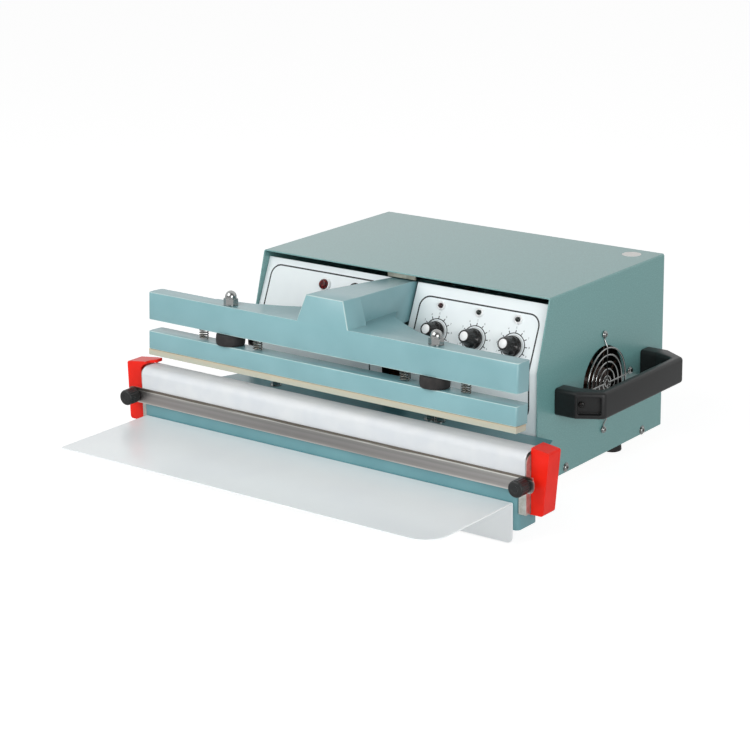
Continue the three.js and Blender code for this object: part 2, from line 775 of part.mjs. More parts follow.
function footGeometry() {
  const top = FOOT_HEIGHT - SEAT_GAP;
  const edge = FOOT_RADIUS / 8;
  return turned([
    [0, 0],
    [FOOT_RADIUS - edge, 0],
    [FOOT_RADIUS, edge],
    [FOOT_RADIUS, top],
    [0, top],
  ], SMALL_ROUND);
}

// Controls, in the panel's own frame
function timerKnobGeometry() {
  const skirt = SEAT_GAP + RUN_GAP;
  const gripEdge = KNOB_GRIP_RADIUS - KNOB_EDGE;
  return turned([
    [0, -BOARD_DEPTH + BOARD_SHEET + POT_HEIGHT / 2],
    [SPINDLE_RADIUS, -BOARD_DEPTH + BOARD_SHEET + POT_HEIGHT / 2],
    [SPINDLE_RADIUS, skirt],
    [KNOB_SKIRT_RADIUS, skirt],
    [KNOB_SKIRT_RADIUS, skirt + KNOB_SKIRT],
    [KNOB_GRIP_RADIUS, skirt + KNOB_SHOULDER],
    [KNOB_GRIP_RADIUS, skirt + KNOB_HEIGHT - KNOB_EDGE],
    [gripEdge, skirt + KNOB_HEIGHT],
    [0, skirt + KNOB_HEIGHT],
  ]);
}

function timerBoardGeometry() {
  const span = about(PANEL_MIDDLE, 2 * (DIAL_PITCH + BOARD_MARGIN));
  const board = block(span, [BOARD_LOW, BOARD_HIGH], [-BOARD_DEPTH, BOARD_SHEET - BOARD_DEPTH]);
  const potTop = BOARD_SHEET - BOARD_DEPTH + POT_HEIGHT;
  const pots = [-DIAL_PITCH, 0, DIAL_PITCH].map((offset) => {
    const can = rod(POT_RADIUS, -BOARD_DEPTH, potTop);
    return can.translate(PANEL_MIDDLE + offset, DIAL_RISE, 0);
  });
  const posts = span.flatMap((edge, side) => [BOARD_LOW, BOARD_HIGH].map((rise, row) => {
    const post = rod(STANDOFF_RADIUS, -BOARD_DEPTH, -PANEL_SHEET - SEAT_GAP, SMALL_ROUND);
    const inward = STANDOFF_RADIUS * 2;
    return post.translate(edge + (side ? -inward : inward), rise + (row ? -inward : inward), 0);
  }));
  const bores = [-DIAL_PITCH, 0, DIAL_PITCH].map((offset) => {
    const bore = rod(SPINDLE_RADIUS + SEAT_GAP, BOARD_SHEET - BOARD_DEPTH + SEAT_GAP, OVERRUN);
    return bore.translate(PANEL_MIDDLE + offset, DIAL_RISE, 0);
  });
  return cut(join(board, ...pots, ...posts), ...bores);
}

function ledGeometry() {
  const seat = -PANEL_SHEET - SEAT_GAP;
  return turned([
    [0, seat - LED_BODY],
    [LED_RADIUS + LED_FLANGE, seat - LED_BODY],
    [LED_RADIUS + LED_FLANGE, seat],
    [LED_RADIUS, seat],
    [LED_RADIUS, LED_HEIGHT - LED_RADIUS / 2],
    [LED_RADIUS / Math.SQRT2, LED_HEIGHT - LED_RADIUS / 6],
    [0, LED_HEIGHT],
  ], SMALL_ROUND);
}

function pilotBezelGeometry() {
  const bore = LENS_RADIUS + SEAT_GAP;
  const rim = bore + BEZEL_WALL;
  return turned([
    [0, -BARREL_DEPTH],
    [BARREL_RADIUS, -BARREL_DEPTH],
    [BARREL_RADIUS, SEAT_GAP],
    [rim, SEAT_GAP],
    [rim, SEAT_GAP + BEZEL_HEIGHT],
    [bore, SEAT_GAP + BEZEL_HEIGHT],
    [bore, SEAT_GAP + BEZEL_FLOOR],
    [BARREL_BORE, SEAT_GAP + BEZEL_FLOOR],
    [BARREL_BORE, -BARREL_DEPTH + BEZEL_WALL],
    [0, -BARREL_DEPTH + BEZEL_WALL],
  ]);
}

function pilotLensGeometry() {
  const seat = 2 * SEAT_GAP + BEZEL_FLOOR;
  const stem = BARREL_BORE - SEAT_GAP;
  return turned([
    [0, -BARREL_DEPTH / 2],
    [stem, -BARREL_DEPTH / 2],
    [stem, seat],
    [LENS_RADIUS, seat],
    [LENS_RADIUS, LENS_HEIGHT - LENS_RADIUS / 4],
    [LENS_RADIUS * Math.SQRT1_2, LENS_HEIGHT - LENS_RADIUS / 16],
    [0, LENS_HEIGHT],
  ]);
}

function switchBodyGeometry() {
  const bore = BUTTON_RADIUS + RUN_GAP;
  const floor = -BUTTON_CAP_DEPTH - BUTTON_TRAVEL - RUN_GAP;
  const stemBore = BUTTON_STEM_RADIUS + RUN_GAP;
  return turned([
    [0, -SWITCH_DEPTH],
    [SWITCH_RADIUS, -SWITCH_DEPTH],
    [SWITCH_RADIUS, SEAT_GAP],
    [SWITCH_RIM, SEAT_GAP],
    [SWITCH_RIM, SWITCH_RISE],
    [bore, SWITCH_RISE],
    [bore, floor],
    [stemBore, floor],
    [stemBore, floor - BUTTON_STEM - RUN_GAP],
    [0, floor - BUTTON_STEM - RUN_GAP],
  ]);
}

function pushButtonGeometry() {
  const stemEnd = -BUTTON_CAP_DEPTH - BUTTON_STEM;
  return turned([
    [0, stemEnd],
    [BUTTON_STEM_RADIUS, stemEnd],
    [BUTTON_STEM_RADIUS, -BUTTON_CAP_DEPTH],
    [BUTTON_RADIUS, -BUTTON_CAP_DEPTH],
    [BUTTON_RADIUS, BUTTON_HEIGHT - BUTTON_RADIUS / 8],
    [BUTTON_RADIUS * 7 / 8, BUTTON_HEIGHT],
    [0, BUTTON_HEIGHT],
  ]);
}

// Lower jaw: a cast bar with a deck behind it that runs to the front panels
function lowerJawGeometry() {
  const footRear = JAW_FRONT + JAW_FOOT_DEPTH;
  const topRear = JAW_FRONT + JAW_TOP_DEPTH;
  const section = [
    [JAW_FRONT, JAW_BOTTOM],
    [footRear, JAW_BOTTOM],
    [footRear, JAW_TOP - 2 * JAW_CROWN],
    [topRear, JAW_TOP],
    [JAW_FRONT, JAW_TOP, JAW_EDGE],
  ];
  const plan = rectangle(about(0, JAW_LENGTH), [JAW_FRONT, footRear], JAW_CORNER);
  const bar = common(rail(section, -JAW_END, JAW_END), plate(plan, JAW_BOTTOM, JAW_TOP));
  const deckTop = FOOT_HEIGHT + DECK_HEIGHT;
  const deckRear = -NOSE_REACH - DECK_GAP;
  const deck = plate([
    [-JAW_END, footRear - JAW_CROWN],
    [JAW_END, footRear - JAW_CROWN],
    [JAW_END - DECK_TAPER, deckRear],
    [DECK_TAPER - JAW_END, deckRear],
  ], deckTop - DECK_SHEET, deckTop);
  return join(bar, deck);
}

function deckBracketGeometry() {
  const footRear = JAW_FRONT + JAW_FOOT_DEPTH;
  const low = BASE_TOP + SEAT_GAP + BRACKET_SHEET;
  const high = FOOT_HEIGHT + DECK_HEIGHT - DECK_SHEET - SEAT_GAP;
  const web = footRear + BRACKET_FOOT + FOOT_RADIUS;
  const chain = [
    [web + BRACKET_FOOT, high],
    [web, high],
    [web, low],
    [web - BRACKET_FOOT, low],
  ];
  return rail(folded(chain, BRACKET_SHEET), ...about(BRACKET_SPREAD, BRACKET_WIDTH));
}

function insulationGeometry() {
  return block(
    about(0, JAW_LENGTH),
    about(JAW_FRONT + JAW_TOP_DEPTH / 2 + JAW_EDGE / 2, INSULATION_WIDTH),
    [INSULATION_TOP - INSULATION, INSULATION_TOP],
  );
}

function elementGeometry() {
  return block(
    about(0, JAW_LENGTH),
    about(JAW_FRONT + JAW_TOP_DEPTH / 2 + JAW_EDGE / 2, ELEMENT_WIDTH),
    [ELEMENT_TOP - ELEMENT, ELEMENT_TOP],
  );
}

// The cloth lies on the jaw and hangs over its front, behind the clamp strip, notched at a screw
function clothGeometry() {
  const rear = CLOTH_FACE + CLOTH_TOP;
  const low = CLOTH_LEVEL - CLOTH_DROP;
  const outside = [
    [CLOTH_FACE, low],
    [rear, low],
    [rear, CLOTH_LEVEL],
    [CLOTH_FACE, CLOTH_LEVEL, JAW_EDGE + CLOTH + SEAT_GAP],
  ];
  const inside = [
    [CLOTH_FACE + CLOTH, low - OVERRUN],
    [rear + OVERRUN, low - OVERRUN],
    [rear + OVERRUN, CLOTH_UNDER],
    [CLOTH_FACE + CLOTH, CLOTH_UNDER, JAW_EDGE + SEAT_GAP],
  ];
  const right = JAW_END + CLOTH_OVERHANG;
  const hollow = rail(inside, -JAW_END - OVERRUN, right + OVERRUN);
  const notch = block(
    [JAW_END, right + OVERRUN],
    [CLOTH_FACE - OVERRUN, CLOTH_FACE + CLOTH + OVERRUN],
    [low - OVERRUN, STRIP_MIDDLE + STRIP_SCREW_RADIUS + RUN_GAP],
  );
  return cut(rail(outside, -JAW_END, right), hollow, notch);
}

function clampStripGeometry() {
  const corners = rectangle(
    about(0, 2 * (JAW_END + STRIP_OVERHANG)),
    [STRIP_BOTTOM, STRIP_BOTTOM + STRIP_HEIGHT],
    STRIP_CORNER,
  );
  const strip = slab(corners, STRIP_FACE, STRIP_FACE + STRIP_SHEET);
  const holes = [-STRIP_KNOB_X, STRIP_KNOB_X].map((x) => {
    const hole = alongY(rod(STRIP_SCREW_RADIUS + RUN_GAP, -OVERRUN, OVERRUN, SMALL_ROUND));
    return hole.translate(x, STRIP_FACE, STRIP_MIDDLE);
  });
  return cut(strip, ...holes);
}

// Fluted thumb knob with its screw, turned to face forwards
function stripKnobGeometry() {
  const outline = [];
  for (let step = 0; step < STRIP_KNOB_FLUTES * 2; step += 1) {
    const turn = (Math.PI * step) / STRIP_KNOB_FLUTES;
    const radius = STRIP_KNOB_RADIUS - (step % 2) * STRIP_KNOB_GROOVE;
    outline.push([radius * Math.cos(turn), radius * Math.sin(turn)]);
  }
  const grip = plate(outline, 0, STRIP_KNOB_DEPTH);
  const screw = rod(STRIP_SCREW_RADIUS, -STRIP_SCREW_LENGTH, STRIP_KNOB_DEPTH / 2, SMALL_ROUND);
  const knob = join(grip, screw).rotateX(Math.PI / 2);
  return knob.translate(STRIP_KNOB_X, STRIP_FACE - SEAT_GAP, STRIP_MIDDLE);
}

// Terminal block beside the jaw's end with a lug under the clamp strip's end
function terminalGeometry(postSetback) {
  const inner = JAW_END + SEAT_GAP;
  const front = JAW_FRONT + postSetback;
  const rear = JAW_FRONT + TERMINAL_DEPTH;
  const low = FOOT_HEIGHT + TERMINAL_RISE;
  const high = JAW_TOP - TERMINAL_DROP;
  const side = [[front, low], [rear, low], [rear, high], [front, high, JAW_EDGE]];
  const post = rail(side, inner, inner + TERMINAL_WIDTH);
  const lugZ = about(STRIP_MIDDLE, LUG_HEIGHT);
  const neck = block([inner, inner + TERMINAL_NECK], [JAW_FRONT, rear], lugZ);
  const lug = block([inner, inner + LUG_WIDTH], [JAW_FRONT, JAW_FRONT + LUG_SHEET], lugZ);
  const bore = alongY(rod(STRIP_SCREW_RADIUS + RUN_GAP, -OVERRUN, OVERRUN * 2, SMALL_ROUND));
  bore.translate(STRIP_KNOB_X, JAW_FRONT, STRIP_MIDDLE);
  return cut(join(post, neck, lug), bore);
}

// Moulded end cap whose roof climbs towards the jaw, on the left with a lip over the jaw's end
function endCapGeometry(offset, lean, lipped) {
  const front = JAW_FRONT + CAP_SETBACK;
  const rear = front + CAP_DEPTH;
  const low = FOOT_HEIGHT + CAP_RISE;
  const eave = low + CAP_HEIGHT;
  const inner = JAW_END + offset;
  const innerTop = inner + lean;
  const outerTop = innerTop + CAP_WIDTH;
  const lipEnd = innerTop - CAP_LIP;
  const lipUnder = CLOTH_LEVEL + CAP_LIP_GAP;
  const roofAt = (x) => eave + (outerTop - x) * CAP_PITCH_SHARE;
  const top = lipped
    ? [[lipEnd, roofAt(lipEnd)], [lipEnd, lipUnder], [innerTop, lipUnder, CAP_FILLET]]
    : [[innerTop, roofAt(innerTop)]];
  const shell = slab([
    [inner, low, CAP_CORNER],
    [inner + CAP_WIDTH, low, CAP_CORNER],
    [outerTop, eave, CAP_EAVE],
    ...top,
  ], front, rear);
  const plan = plate([
    [lipEnd, front + CAP_LIP_FRONT],
    [innerTop, front],
    [outerTop + OVERRUN, front],
    [outerTop + OVERRUN, rear],
    [innerTop, rear],
    [lipEnd, rear - CAP_LIP_REAR],
  ], lipUnder - CAP_FILLET - OVERRUN, roofAt(lipEnd) + OVERRUN);
  const body = block(
    [inner - OVERRUN, outerTop + OVERRUN],
    [front, rear],
    [low - OVERRUN, roofAt(lipEnd) + OVERRUN],
  );
  const terminalRoom = block(
    [JAW_END, JAW_END + TERMINAL_WIDTH + 2 * SEAT_GAP],
    [front - OVERRUN, JAW_FRONT + TERMINAL_DEPTH + SEAT_GAP],
    [FOOT_HEIGHT + TERMINAL_RISE - SEAT_GAP, JAW_TOP - TERMINAL_DROP + SEAT_GAP],
  );
  return cut(lipped ? common(shell, join(plan, body)) : shell, terminalRoom);
}

// Work shelf: a flat sheet with a flange that screws to the jaw's front
function shelfGeometry() {
  const flangeRear = JAW_FRONT - SEAT_GAP;
  const top = BASE_TOP + SHELF_HEIGHT;
  const sheet = plate([
    [-SHELF_WIDTH / 2, FRONT_MOST, SHELF_LEFT_CORNER],
    [SHELF_WIDTH / 2, FRONT_MOST, SHELF_RIGHT_CORNER],
    [SHELF_WIDTH / 2, flangeRear],
    [-SHELF_WIDTH / 2, flangeRear],
  ], top - SHELF_SHEET, top);
  const flange = slab([
    [-SHELF_WIDTH / 2, top - SHELF_FLANGE, SHELF_FLANGE_CORNER],
    [SHELF_WIDTH / 2, top - SHELF_FLANGE, SHELF_FLANGE_CORNER],
    [SHELF_WIDTH / 2, top],
    [-SHELF_WIDTH / 2, top],
  ], flangeRear - SHELF_SHEET, flangeRear);
  return join(sheet, flange);
}

// Arm casting: bar, gusset, hump and spine in one
function armGeometry() {
  const barPlan = rectangle(about(0, BAR_LENGTH), [BAR_FRONT, BAR_REAR], BAR_CORNER);
  const bar = plate(barPlan, BAR_BOTTOM, BAR_TOP);
  const flareHalf = FLARE_X_SHARES.map((share, i) => [
    (share * BAR_LENGTH) / 2,
    BAR_REAR + FLARE_Y_SHARES[i] * FLARE_REACH,
  ]);
  const slotHalf = SPINE_SLOT_WIDTH / 2;
  const flarePlan = [
    ...flareHalf,
    [slotHalf, BAR_REAR + FLARE_REACH],
    [-slotHalf, BAR_REAR + FLARE_REACH],
    ...flareHalf.map(([x, y]) => [-x, y]).reverse(),
    [-flareHalf[0][0], BAR_MIDDLE],
    [flareHalf[0][0], BAR_MIDDLE],
  ];
  const flare = plate(flarePlan, BAR_TOP - FLARE_HEIGHT, BAR_TOP);
  const humpFront = slab([
    [-HUMP_BASE / 2, BAR_BOTTOM],
    [HUMP_BASE / 2, BAR_BOTTOM],
    [HUMP_BASE / 2, BAR_TOP],
    [HUMP_TOP / 2, HUMP_TOP_Z],
    [-HUMP_TOP / 2, HUMP_TOP_Z],
    [-HUMP_BASE / 2, BAR_TOP],
  ], BAR_FRONT, BAR_FRONT + HUMP_DEPTH);
  const humpSide = rail([
    [BAR_FRONT, BAR_BOTTOM],
    [BAR_FRONT + HUMP_DEPTH, BAR_BOTTOM],
    [BAR_FRONT + HUMP_DEPTH, HUMP_TOP_Z],
    [BAR_FRONT + HUMP_RAKE, HUMP_TOP_Z],
    [BAR_FRONT, BAR_TOP],
  ], -HUMP_BASE, HUMP_BASE);
  const tailRear = PIVOT_DEPTH + TAIL_REACH;
  const spinePlan = [
    [-HUMP_TOP / 2, BAR_MIDDLE],
    [HUMP_TOP / 2, BAR_MIDDLE],
    [HUMP_TOP / 2, BAR_FRONT + HUMP_DEPTH],
    [SPINE_FRONT_WIDTH / 2, BAR_FRONT + HUMP_DEPTH * 2],
    [slotHalf, 0],
    [SPINE_REAR_WIDTH / 2, PULL_DEPTH],
    [SPINE_REAR_WIDTH / 2, tailRear],
    [-SPINE_REAR_WIDTH / 2, tailRear],
    [-SPINE_REAR_WIDTH / 2, PULL_DEPTH],
    [-slotHalf, 0],
    [-SPINE_FRONT_WIDTH / 2, BAR_FRONT + HUMP_DEPTH * 2],
    [-HUMP_TOP / 2, BAR_FRONT + HUMP_DEPTH],
  ];
  const spineTop = HUMP_TOP_Z - SPINE_FALL;
  const spineSide = rail([
    [BAR_MIDDLE, HUMP_TOP_Z],
    [BAR_MIDDLE, BAR_BOTTOM],
    [BAR_REAR, BAR_BOTTOM],
    [-NOSE_REACH, spineTop - SPINE_DEPTH],
    [PULL_DEPTH, spineTop - SPINE_DEPTH],
    [PIVOT_DEPTH, PIVOT_Z - PIVOT_BOSS],
    [PIVOT_DEPTH + PIVOT_BOSS, TAIL_BOTTOM],
    [tailRear, TAIL_BOTTOM],
    [tailRear, TAIL_BOTTOM + TAIL_HEIGHT],
    [PIVOT_DEPTH, PIVOT_Z + PIVOT_BOSS],
    [0, spineTop],
    [BAR_FRONT + HUMP_DEPTH, HUMP_TOP_Z],
  ], -HUMP_BASE, HUMP_BASE);
  const spine = common(plate(spinePlan, BAR_BOTTOM - HUMP_BASE, HUMP_TOP_Z), spineSide);
  const bossHalf = SPINE_SLOT_WIDTH / 2;
  const boss = alongX(rod(PIVOT_BOSS, -bossHalf, bossHalf)).translate(0, PIVOT_DEPTH, PIVOT_Z);
  const pullLug = block(
    about(0, PULL_LUG_WIDTH),
    about(PULL_DEPTH, PULL_LUG_DEPTH),
    [PULL_PIN_Z - PULL_LUG_DEPTH / 2, spineTop - SPINE_DEPTH / 2],
  );
  const pinHalf = PULL_PIN_LENGTH / 2;
  const pullPin = alongX(rod(PULL_PIN_RADIUS, -pinHalf, pinHalf, SMALL_ROUND));
  pullPin.translate(0, PULL_DEPTH, PULL_PIN_Z);
  const pivotBore = alongX(rod(PIVOT_RADIUS + SEAT_GAP, -HUMP_BASE, HUMP_BASE));
  pivotBore.translate(0, PIVOT_DEPTH, PIVOT_Z);
  const studHoles = STUD_PLACES.map(([, x]) => {
    const hole = rod(STUD_RADIUS + RUN_GAP, BAR_BOTTOM - OVERRUN, BAR_TOP + OVERRUN, SMALL_ROUND);
    return hole.translate(x, BAR_MIDDLE, 0);
  });
  const body = join(bar, flare, common(humpFront, humpSide), spine, boss, pullLug, pullPin);
  return cut(body, pivotBore, ...studHoles);
}

function pressBarGeometry() {
  const front = BAR_FRONT - PRESS_BAR_SETBACK;
  const plan = rectangle(about(0, BAR_LENGTH), [front, front + BAR_DEPTH], BAR_CORNER);
  const holes = STUD_PLACES.map(([, x]) => {
    const low = PRESS_BAR_TOP - STUD_IN_BAR - SEAT_GAP;
    const hole = rod(STUD_RADIUS + SEAT_GAP, low, PRESS_BAR_TOP + OVERRUN, SMALL_ROUND);
    return hole.translate(x, BAR_MIDDLE, 0);
  });
  return cut(plate(plan, PRESS_BAR_BOTTOM, PRESS_BAR_TOP), ...holes);
}

function siliconeGeometry() {
  const front = BAR_FRONT + SILICONE_SETBACK;
  return block(
    about(0, BAR_LENGTH),
    [front, front + SILICONE_DEPTH],
    [SILICONE_BOTTOM, SILICONE_BOTTOM + SILICONE_HEIGHT],
  );
}

// Stud with its washer and domed nut, fixed in the press bar and free in the upper bar
function studGeometry() {
  const washer = BAR_TOP + SEAT_GAP;
  const nut = washer + WASHER_SHEET;
  const dome = nut + NUT_HEIGHT;
  const hexagon = [];
  for (let step = 0; step < 6; step += 1) {
    const turn = (Math.PI * (2 * step + 1)) / 6;
    const radius = NUT_ACROSS / Math.sqrt(3);
    hexagon.push([radius * Math.cos(turn), radius * Math.sin(turn)]);
  }
  const shaft = rod(STUD_RADIUS, PRESS_BAR_TOP - STUD_IN_BAR, nut, SMALL_ROUND);
  const cap = turned([
    [0, nut],
    [DOME_RADIUS, nut],
    [DOME_RADIUS, dome + DOME_RADIUS / 4],
    [DOME_RADIUS * Math.sin(Math.PI / 3), dome + DOME_RADIUS * 0.85],
    [DOME_RADIUS / 2, dome + DOME_RADIUS * 1.2],
    [0, dome + DOME_RADIUS * 1.3],
  ], SMALL_ROUND);
  return join(
    shaft,
    rod(WASHER_RADIUS, washer, nut, SMALL_ROUND),
    plate(hexagon, nut - SEAT_GAP, dome),
    cap,
  );
}

function bushGeometry() {
  const low = PRESS_BAR_TOP + SEAT_GAP;
  const high = BAR_BOTTOM - SEAT_GAP;
  const bore = STUD_RADIUS + RUN_GAP;
  return turned([
    [bore, low],
    [BUSH_RADIUS - BUSH_EDGE, low],
    [BUSH_RADIUS, low + BUSH_EDGE],
    [BUSH_RADIUS, high - BUSH_EDGE],
    [BUSH_RADIUS - BUSH_EDGE, high],
    [bore, high],
    [bore, low],
  ]);
}

// Pivot, solenoid, return spring and transformer inside the housing
function pivotBracketGeometry() {
  const inner = SPINE_SLOT_WIDTH / 2 + RUN_GAP;
  const low = BASE_TOP + SEAT_GAP;
  const high = PIVOT_Z + PIVOT_PLATE_ABOVE;
  const depth = about(PIVOT_DEPTH, PIVOT_PLATE_DEPTH);
  const upright = rail(rectangle(depth, [low, high]), inner, inner + PIVOT_PLATE);
  const foot = block([inner, inner + PIVOT_PLATE_FOOT], depth, [low, low + PIVOT_PLATE]);
  const hole = alongX(rod(PIVOT_RADIUS + SEAT_GAP, 0, inner + PIVOT_PLATE + OVERRUN));
  return cut(join(upright, foot), hole.translate(0, PIVOT_DEPTH, PIVOT_Z));
}

function pivotShaftGeometry() {
  const face = SPINE_SLOT_WIDTH / 2 + RUN_GAP + PIVOT_PLATE + SEAT_GAP;
  const end = face + PIVOT_HEAD_WIDTH;
  const shaft = turned([
    [0, -end],
    [PIVOT_HEAD, -end],
    [PIVOT_HEAD, -face],
    [PIVOT_RADIUS, -face],
    [PIVOT_RADIUS, face],
    [PIVOT_HEAD, face],
    [PIVOT_HEAD, end],
    [0, end],
  ]);
  return alongX(shaft).translate(0, PIVOT_DEPTH, PIVOT_Z);
}

// Where a point of the shut arm lies when the jaws are open
function opened(y, z) {
  const point = new THREE.Vector2(y - PIVOT_DEPTH, z - PIVOT_Z);
  point.rotateAround(new THREE.Vector2(), -OPEN_ANGLE);
  return [point.x + PIVOT_DEPTH, point.y + PIVOT_Z];
}

// The fork's hole is long from front to back, because the arm's pin swings on an arc
function plungerGeometry() {
  const [pinY, pinZ] = opened(PULL_DEPTH, PULL_PIN_Z);
  const top = pinZ + FORK_DEPTH / 2;
  const bottom = top - PLUNGER_LENGTH - FORK_HEIGHT;
  const middle = (pinY + PULL_DEPTH) / 2;
  const core = rod(PLUNGER_RADIUS, bottom, top - FORK_HEIGHT + OVERRUN / 3).translate(0, middle, 0);
  const fork = block(about(0, FORK_WIDTH), about(middle, FORK_DEPTH), [top - FORK_HEIGHT, top]);
  const throat = block(
    about(0, PULL_LUG_WIDTH + 2 * RUN_GAP),
    about(middle, FORK_DEPTH + 2 * OVERRUN),
    [top - FORK_HEIGHT + SOLENOID_FRAME / 2, top + OVERRUN],
  );
  const slack = Math.abs(PULL_DEPTH - pinY);
  const holeHalf = PULL_PIN_RADIUS + RUN_GAP;
  const holeOutline = rectangle(
    about(middle, slack + 2 * holeHalf + RUN_GAP),
    about(pinZ, 2 * holeHalf),
    holeHalf * 0.9,
  );
  const hole = rail(holeOutline, -FORK_WIDTH, FORK_WIDTH);
  return cut(join(core, fork), throat, hole);
}

function solenoidGeometry() {
  const low = BASE_TOP + SEAT_GAP;
  const high = low + SOLENOID_HEIGHT;
  const [pinY] = opened(PULL_DEPTH, PULL_PIN_Z);
  const middle = (pinY + PULL_DEPTH) / 2;
  const frame = block(about(0, SOLENOID_WIDTH), about(middle, SOLENOID_DEPTH), [low, high]);
  const window = block(
    about(0, SOLENOID_WIDTH - 2 * SOLENOID_FRAME),
    about(middle, SOLENOID_DEPTH + 2 * OVERRUN),
    [low + SOLENOID_FRAME, high - SOLENOID_FRAME],
  );
  const winding = rod(COIL_RADIUS, low, high - SOLENOID_FRAME / 2).translate(0, middle, 0);
  const bore = rod(PLUNGER_RADIUS + RUN_GAP, low + SOLENOID_FRAME * 2, high + OVERRUN);
  return cut(join(cut(frame, window), winding), bore.translate(0, middle, 0));
}

function returnSpringGeometry() {
  const [y, z] = opened(PIVOT_DEPTH + RETURN_OFFSET, TAIL_BOTTOM);
  const low = RETURN_LUG_TOP + SEAT_GAP;
  const slope = RETURN_RADIUS * Math.sin(OPEN_ANGLE);
  const spring = coil(RETURN_RADIUS, RETURN_WIRE, RETURN_CURLS, low, z - SEAT_GAP - slope);
  return spring.translate(0, y, 0);
}

function transformerGeometry() {
  const low = BASE_TOP + SEAT_GAP;
  const core = block(
    about(-TRANSFORMER_X, CORE_WIDTH),
    about(TRANSFORMER_Y, CORE_DEPTH),
    [low, low + CORE_HEIGHT],
  );
  const winding = plate(
    rectangle(about(-TRANSFORMER_X, WINDING_WIDTH), about(TRANSFORMER_Y, WINDING_DEPTH), CORE_FOOT / 2),
    low + (CORE_HEIGHT - WINDING_HEIGHT) / 2,
    low + (CORE_HEIGHT + WINDING_HEIGHT) / 2,
  );
  const foot = block(
    about(-TRANSFORMER_X, CORE_WIDTH + 2 * CORE_FOOT),
    about(TRANSFORMER_Y, CORE_DEPTH),
    [low, low + CORE_FOOT_SHEET],
  );
  return join(core, winding, foot);
}

// Fan pieces, in the wall's own frame: across, up, outward from the wall's outer face
const wallFrame = new THREE.Matrix4()
  .makeBasis(Y_AXIS, Z_AXIS, X_AXIS)
  .setPosition(COVER_WIDTH / 2, FAN_DEPTH_AT, FOOT_HEIGHT + FAN_HEIGHT_AT);

function fanFrameGeometry() {
  const front = -COVER_SHEET - SEAT_GAP;
  const rear = front - FAN_THICKNESS;
  const body = plate(rectangle(about(0, FAN_SIZE), about(0, FAN_SIZE), FAN_CORNER), rear, front);
  const bore = rod(FAN_BORE, rear - OVERRUN, front + OVERRUN);
  const holes = [[1, 1], [-1, 1], [-1, -1], [1, -1]].map(([x, y]) => {
    const hole = rod(FAN_SCREW_RADIUS, rear - OVERRUN, front + OVERRUN, SMALL_ROUND);
    return hole.translate(x * FAN_SCREW_CIRCLE * Math.SQRT1_2, y * FAN_SCREW_CIRCLE * Math.SQRT1_2, 0);
  });
  const struts = [0, Math.PI / 2].map((turn) => {
    const bar = block(about(0, 2 * FAN_BORE + FAN_STRUT), about(0, FAN_STRUT), [rear, rear + FAN_STRUT]);
    return bar.rotateZ(turn);
  });
  const hub = rod(FAN_HUB, rear, rear + FAN_HUB_DEPTH);
  const axleBore = rod(AXLE_RADIUS + SEAT_GAP, rear + FAN_STRUT / 2, front, SMALL_ROUND);
  const frame = cut(join(cut(body, bore), ...struts, hub), axleBore, ...holes);
  return frame.rotateZ(Math.PI / 4);
}

function fanRotorGeometry() {
  const front = -COVER_SHEET - SEAT_GAP - RUN_GAP * 2;
  const rear = -COVER_SHEET - SEAT_GAP - FAN_THICKNESS + FAN_HUB_DEPTH + RUN_GAP;
  const middle = (front + rear) / 2;
  const hubRadius = FAN_HUB - RUN_GAP;
  const hub = rod(hubRadius, rear, front);
  const axle = rod(AXLE_RADIUS, rear - AXLE_LENGTH + RUN_GAP, middle, SMALL_ROUND);
  const blades = [];
  for (let index = 0; index < BLADE_COUNT; index += 1) {
    const blade = block(
      [hubRadius * 0.8, FAN_BORE - BLADE_TIP_GAP],
      about(0, BLADE_THICKNESS),
      about(0, BLADE_WIDTH),
    );
    blade.rotateX(BLADE_PITCH).rotateZ((2 * Math.PI * index) / BLADE_COUNT);
    blades.push(blade.translate(0, 0, middle));
  }
  return join(hub, axle, ...blades);
}

function fanGuardGeometry() {
  const rings = [];
  for (let index = 1; index <= GUARD_RINGS; index += 1) {
    const ring = new THREE.TorusGeometry(GUARD_PITCH * index, GUARD_WIRE, WIRE_SIDES, ROUND);
    rings.push(ring.translate(0, 0, GUARD_STANDOFF));
  }
  const outer = GUARD_PITCH * GUARD_RINGS;
  const eyeLevel = SEAT_GAP + GUARD_EYE_SHEET / 2;
  const spokes = [];
  for (let index = 0; index < 4; index += 1) {
    const spoke = wire([
      new THREE.Vector3(GUARD_PITCH, 0, GUARD_STANDOFF),
      new THREE.Vector3(outer, 0, GUARD_STANDOFF),
      new THREE.Vector3((outer + FAN_SCREW_CIRCLE) / 2, 0, eyeLevel),
      new THREE.Vector3(FAN_SCREW_CIRCLE, 0, eyeLevel),
    ], GUARD_WIRE * 0.9);
    const eye = rod(GUARD_EYE, SEAT_GAP, SEAT_GAP + GUARD_EYE_SHEET, SMALL_ROUND);
    eye.translate(FAN_SCREW_CIRCLE, 0, 0);
    [spoke, eye].forEach((item) => spokes.push(item.rotateZ((Math.PI * index) / 2)));
  }
  return join(...rings, ...spokes);
}

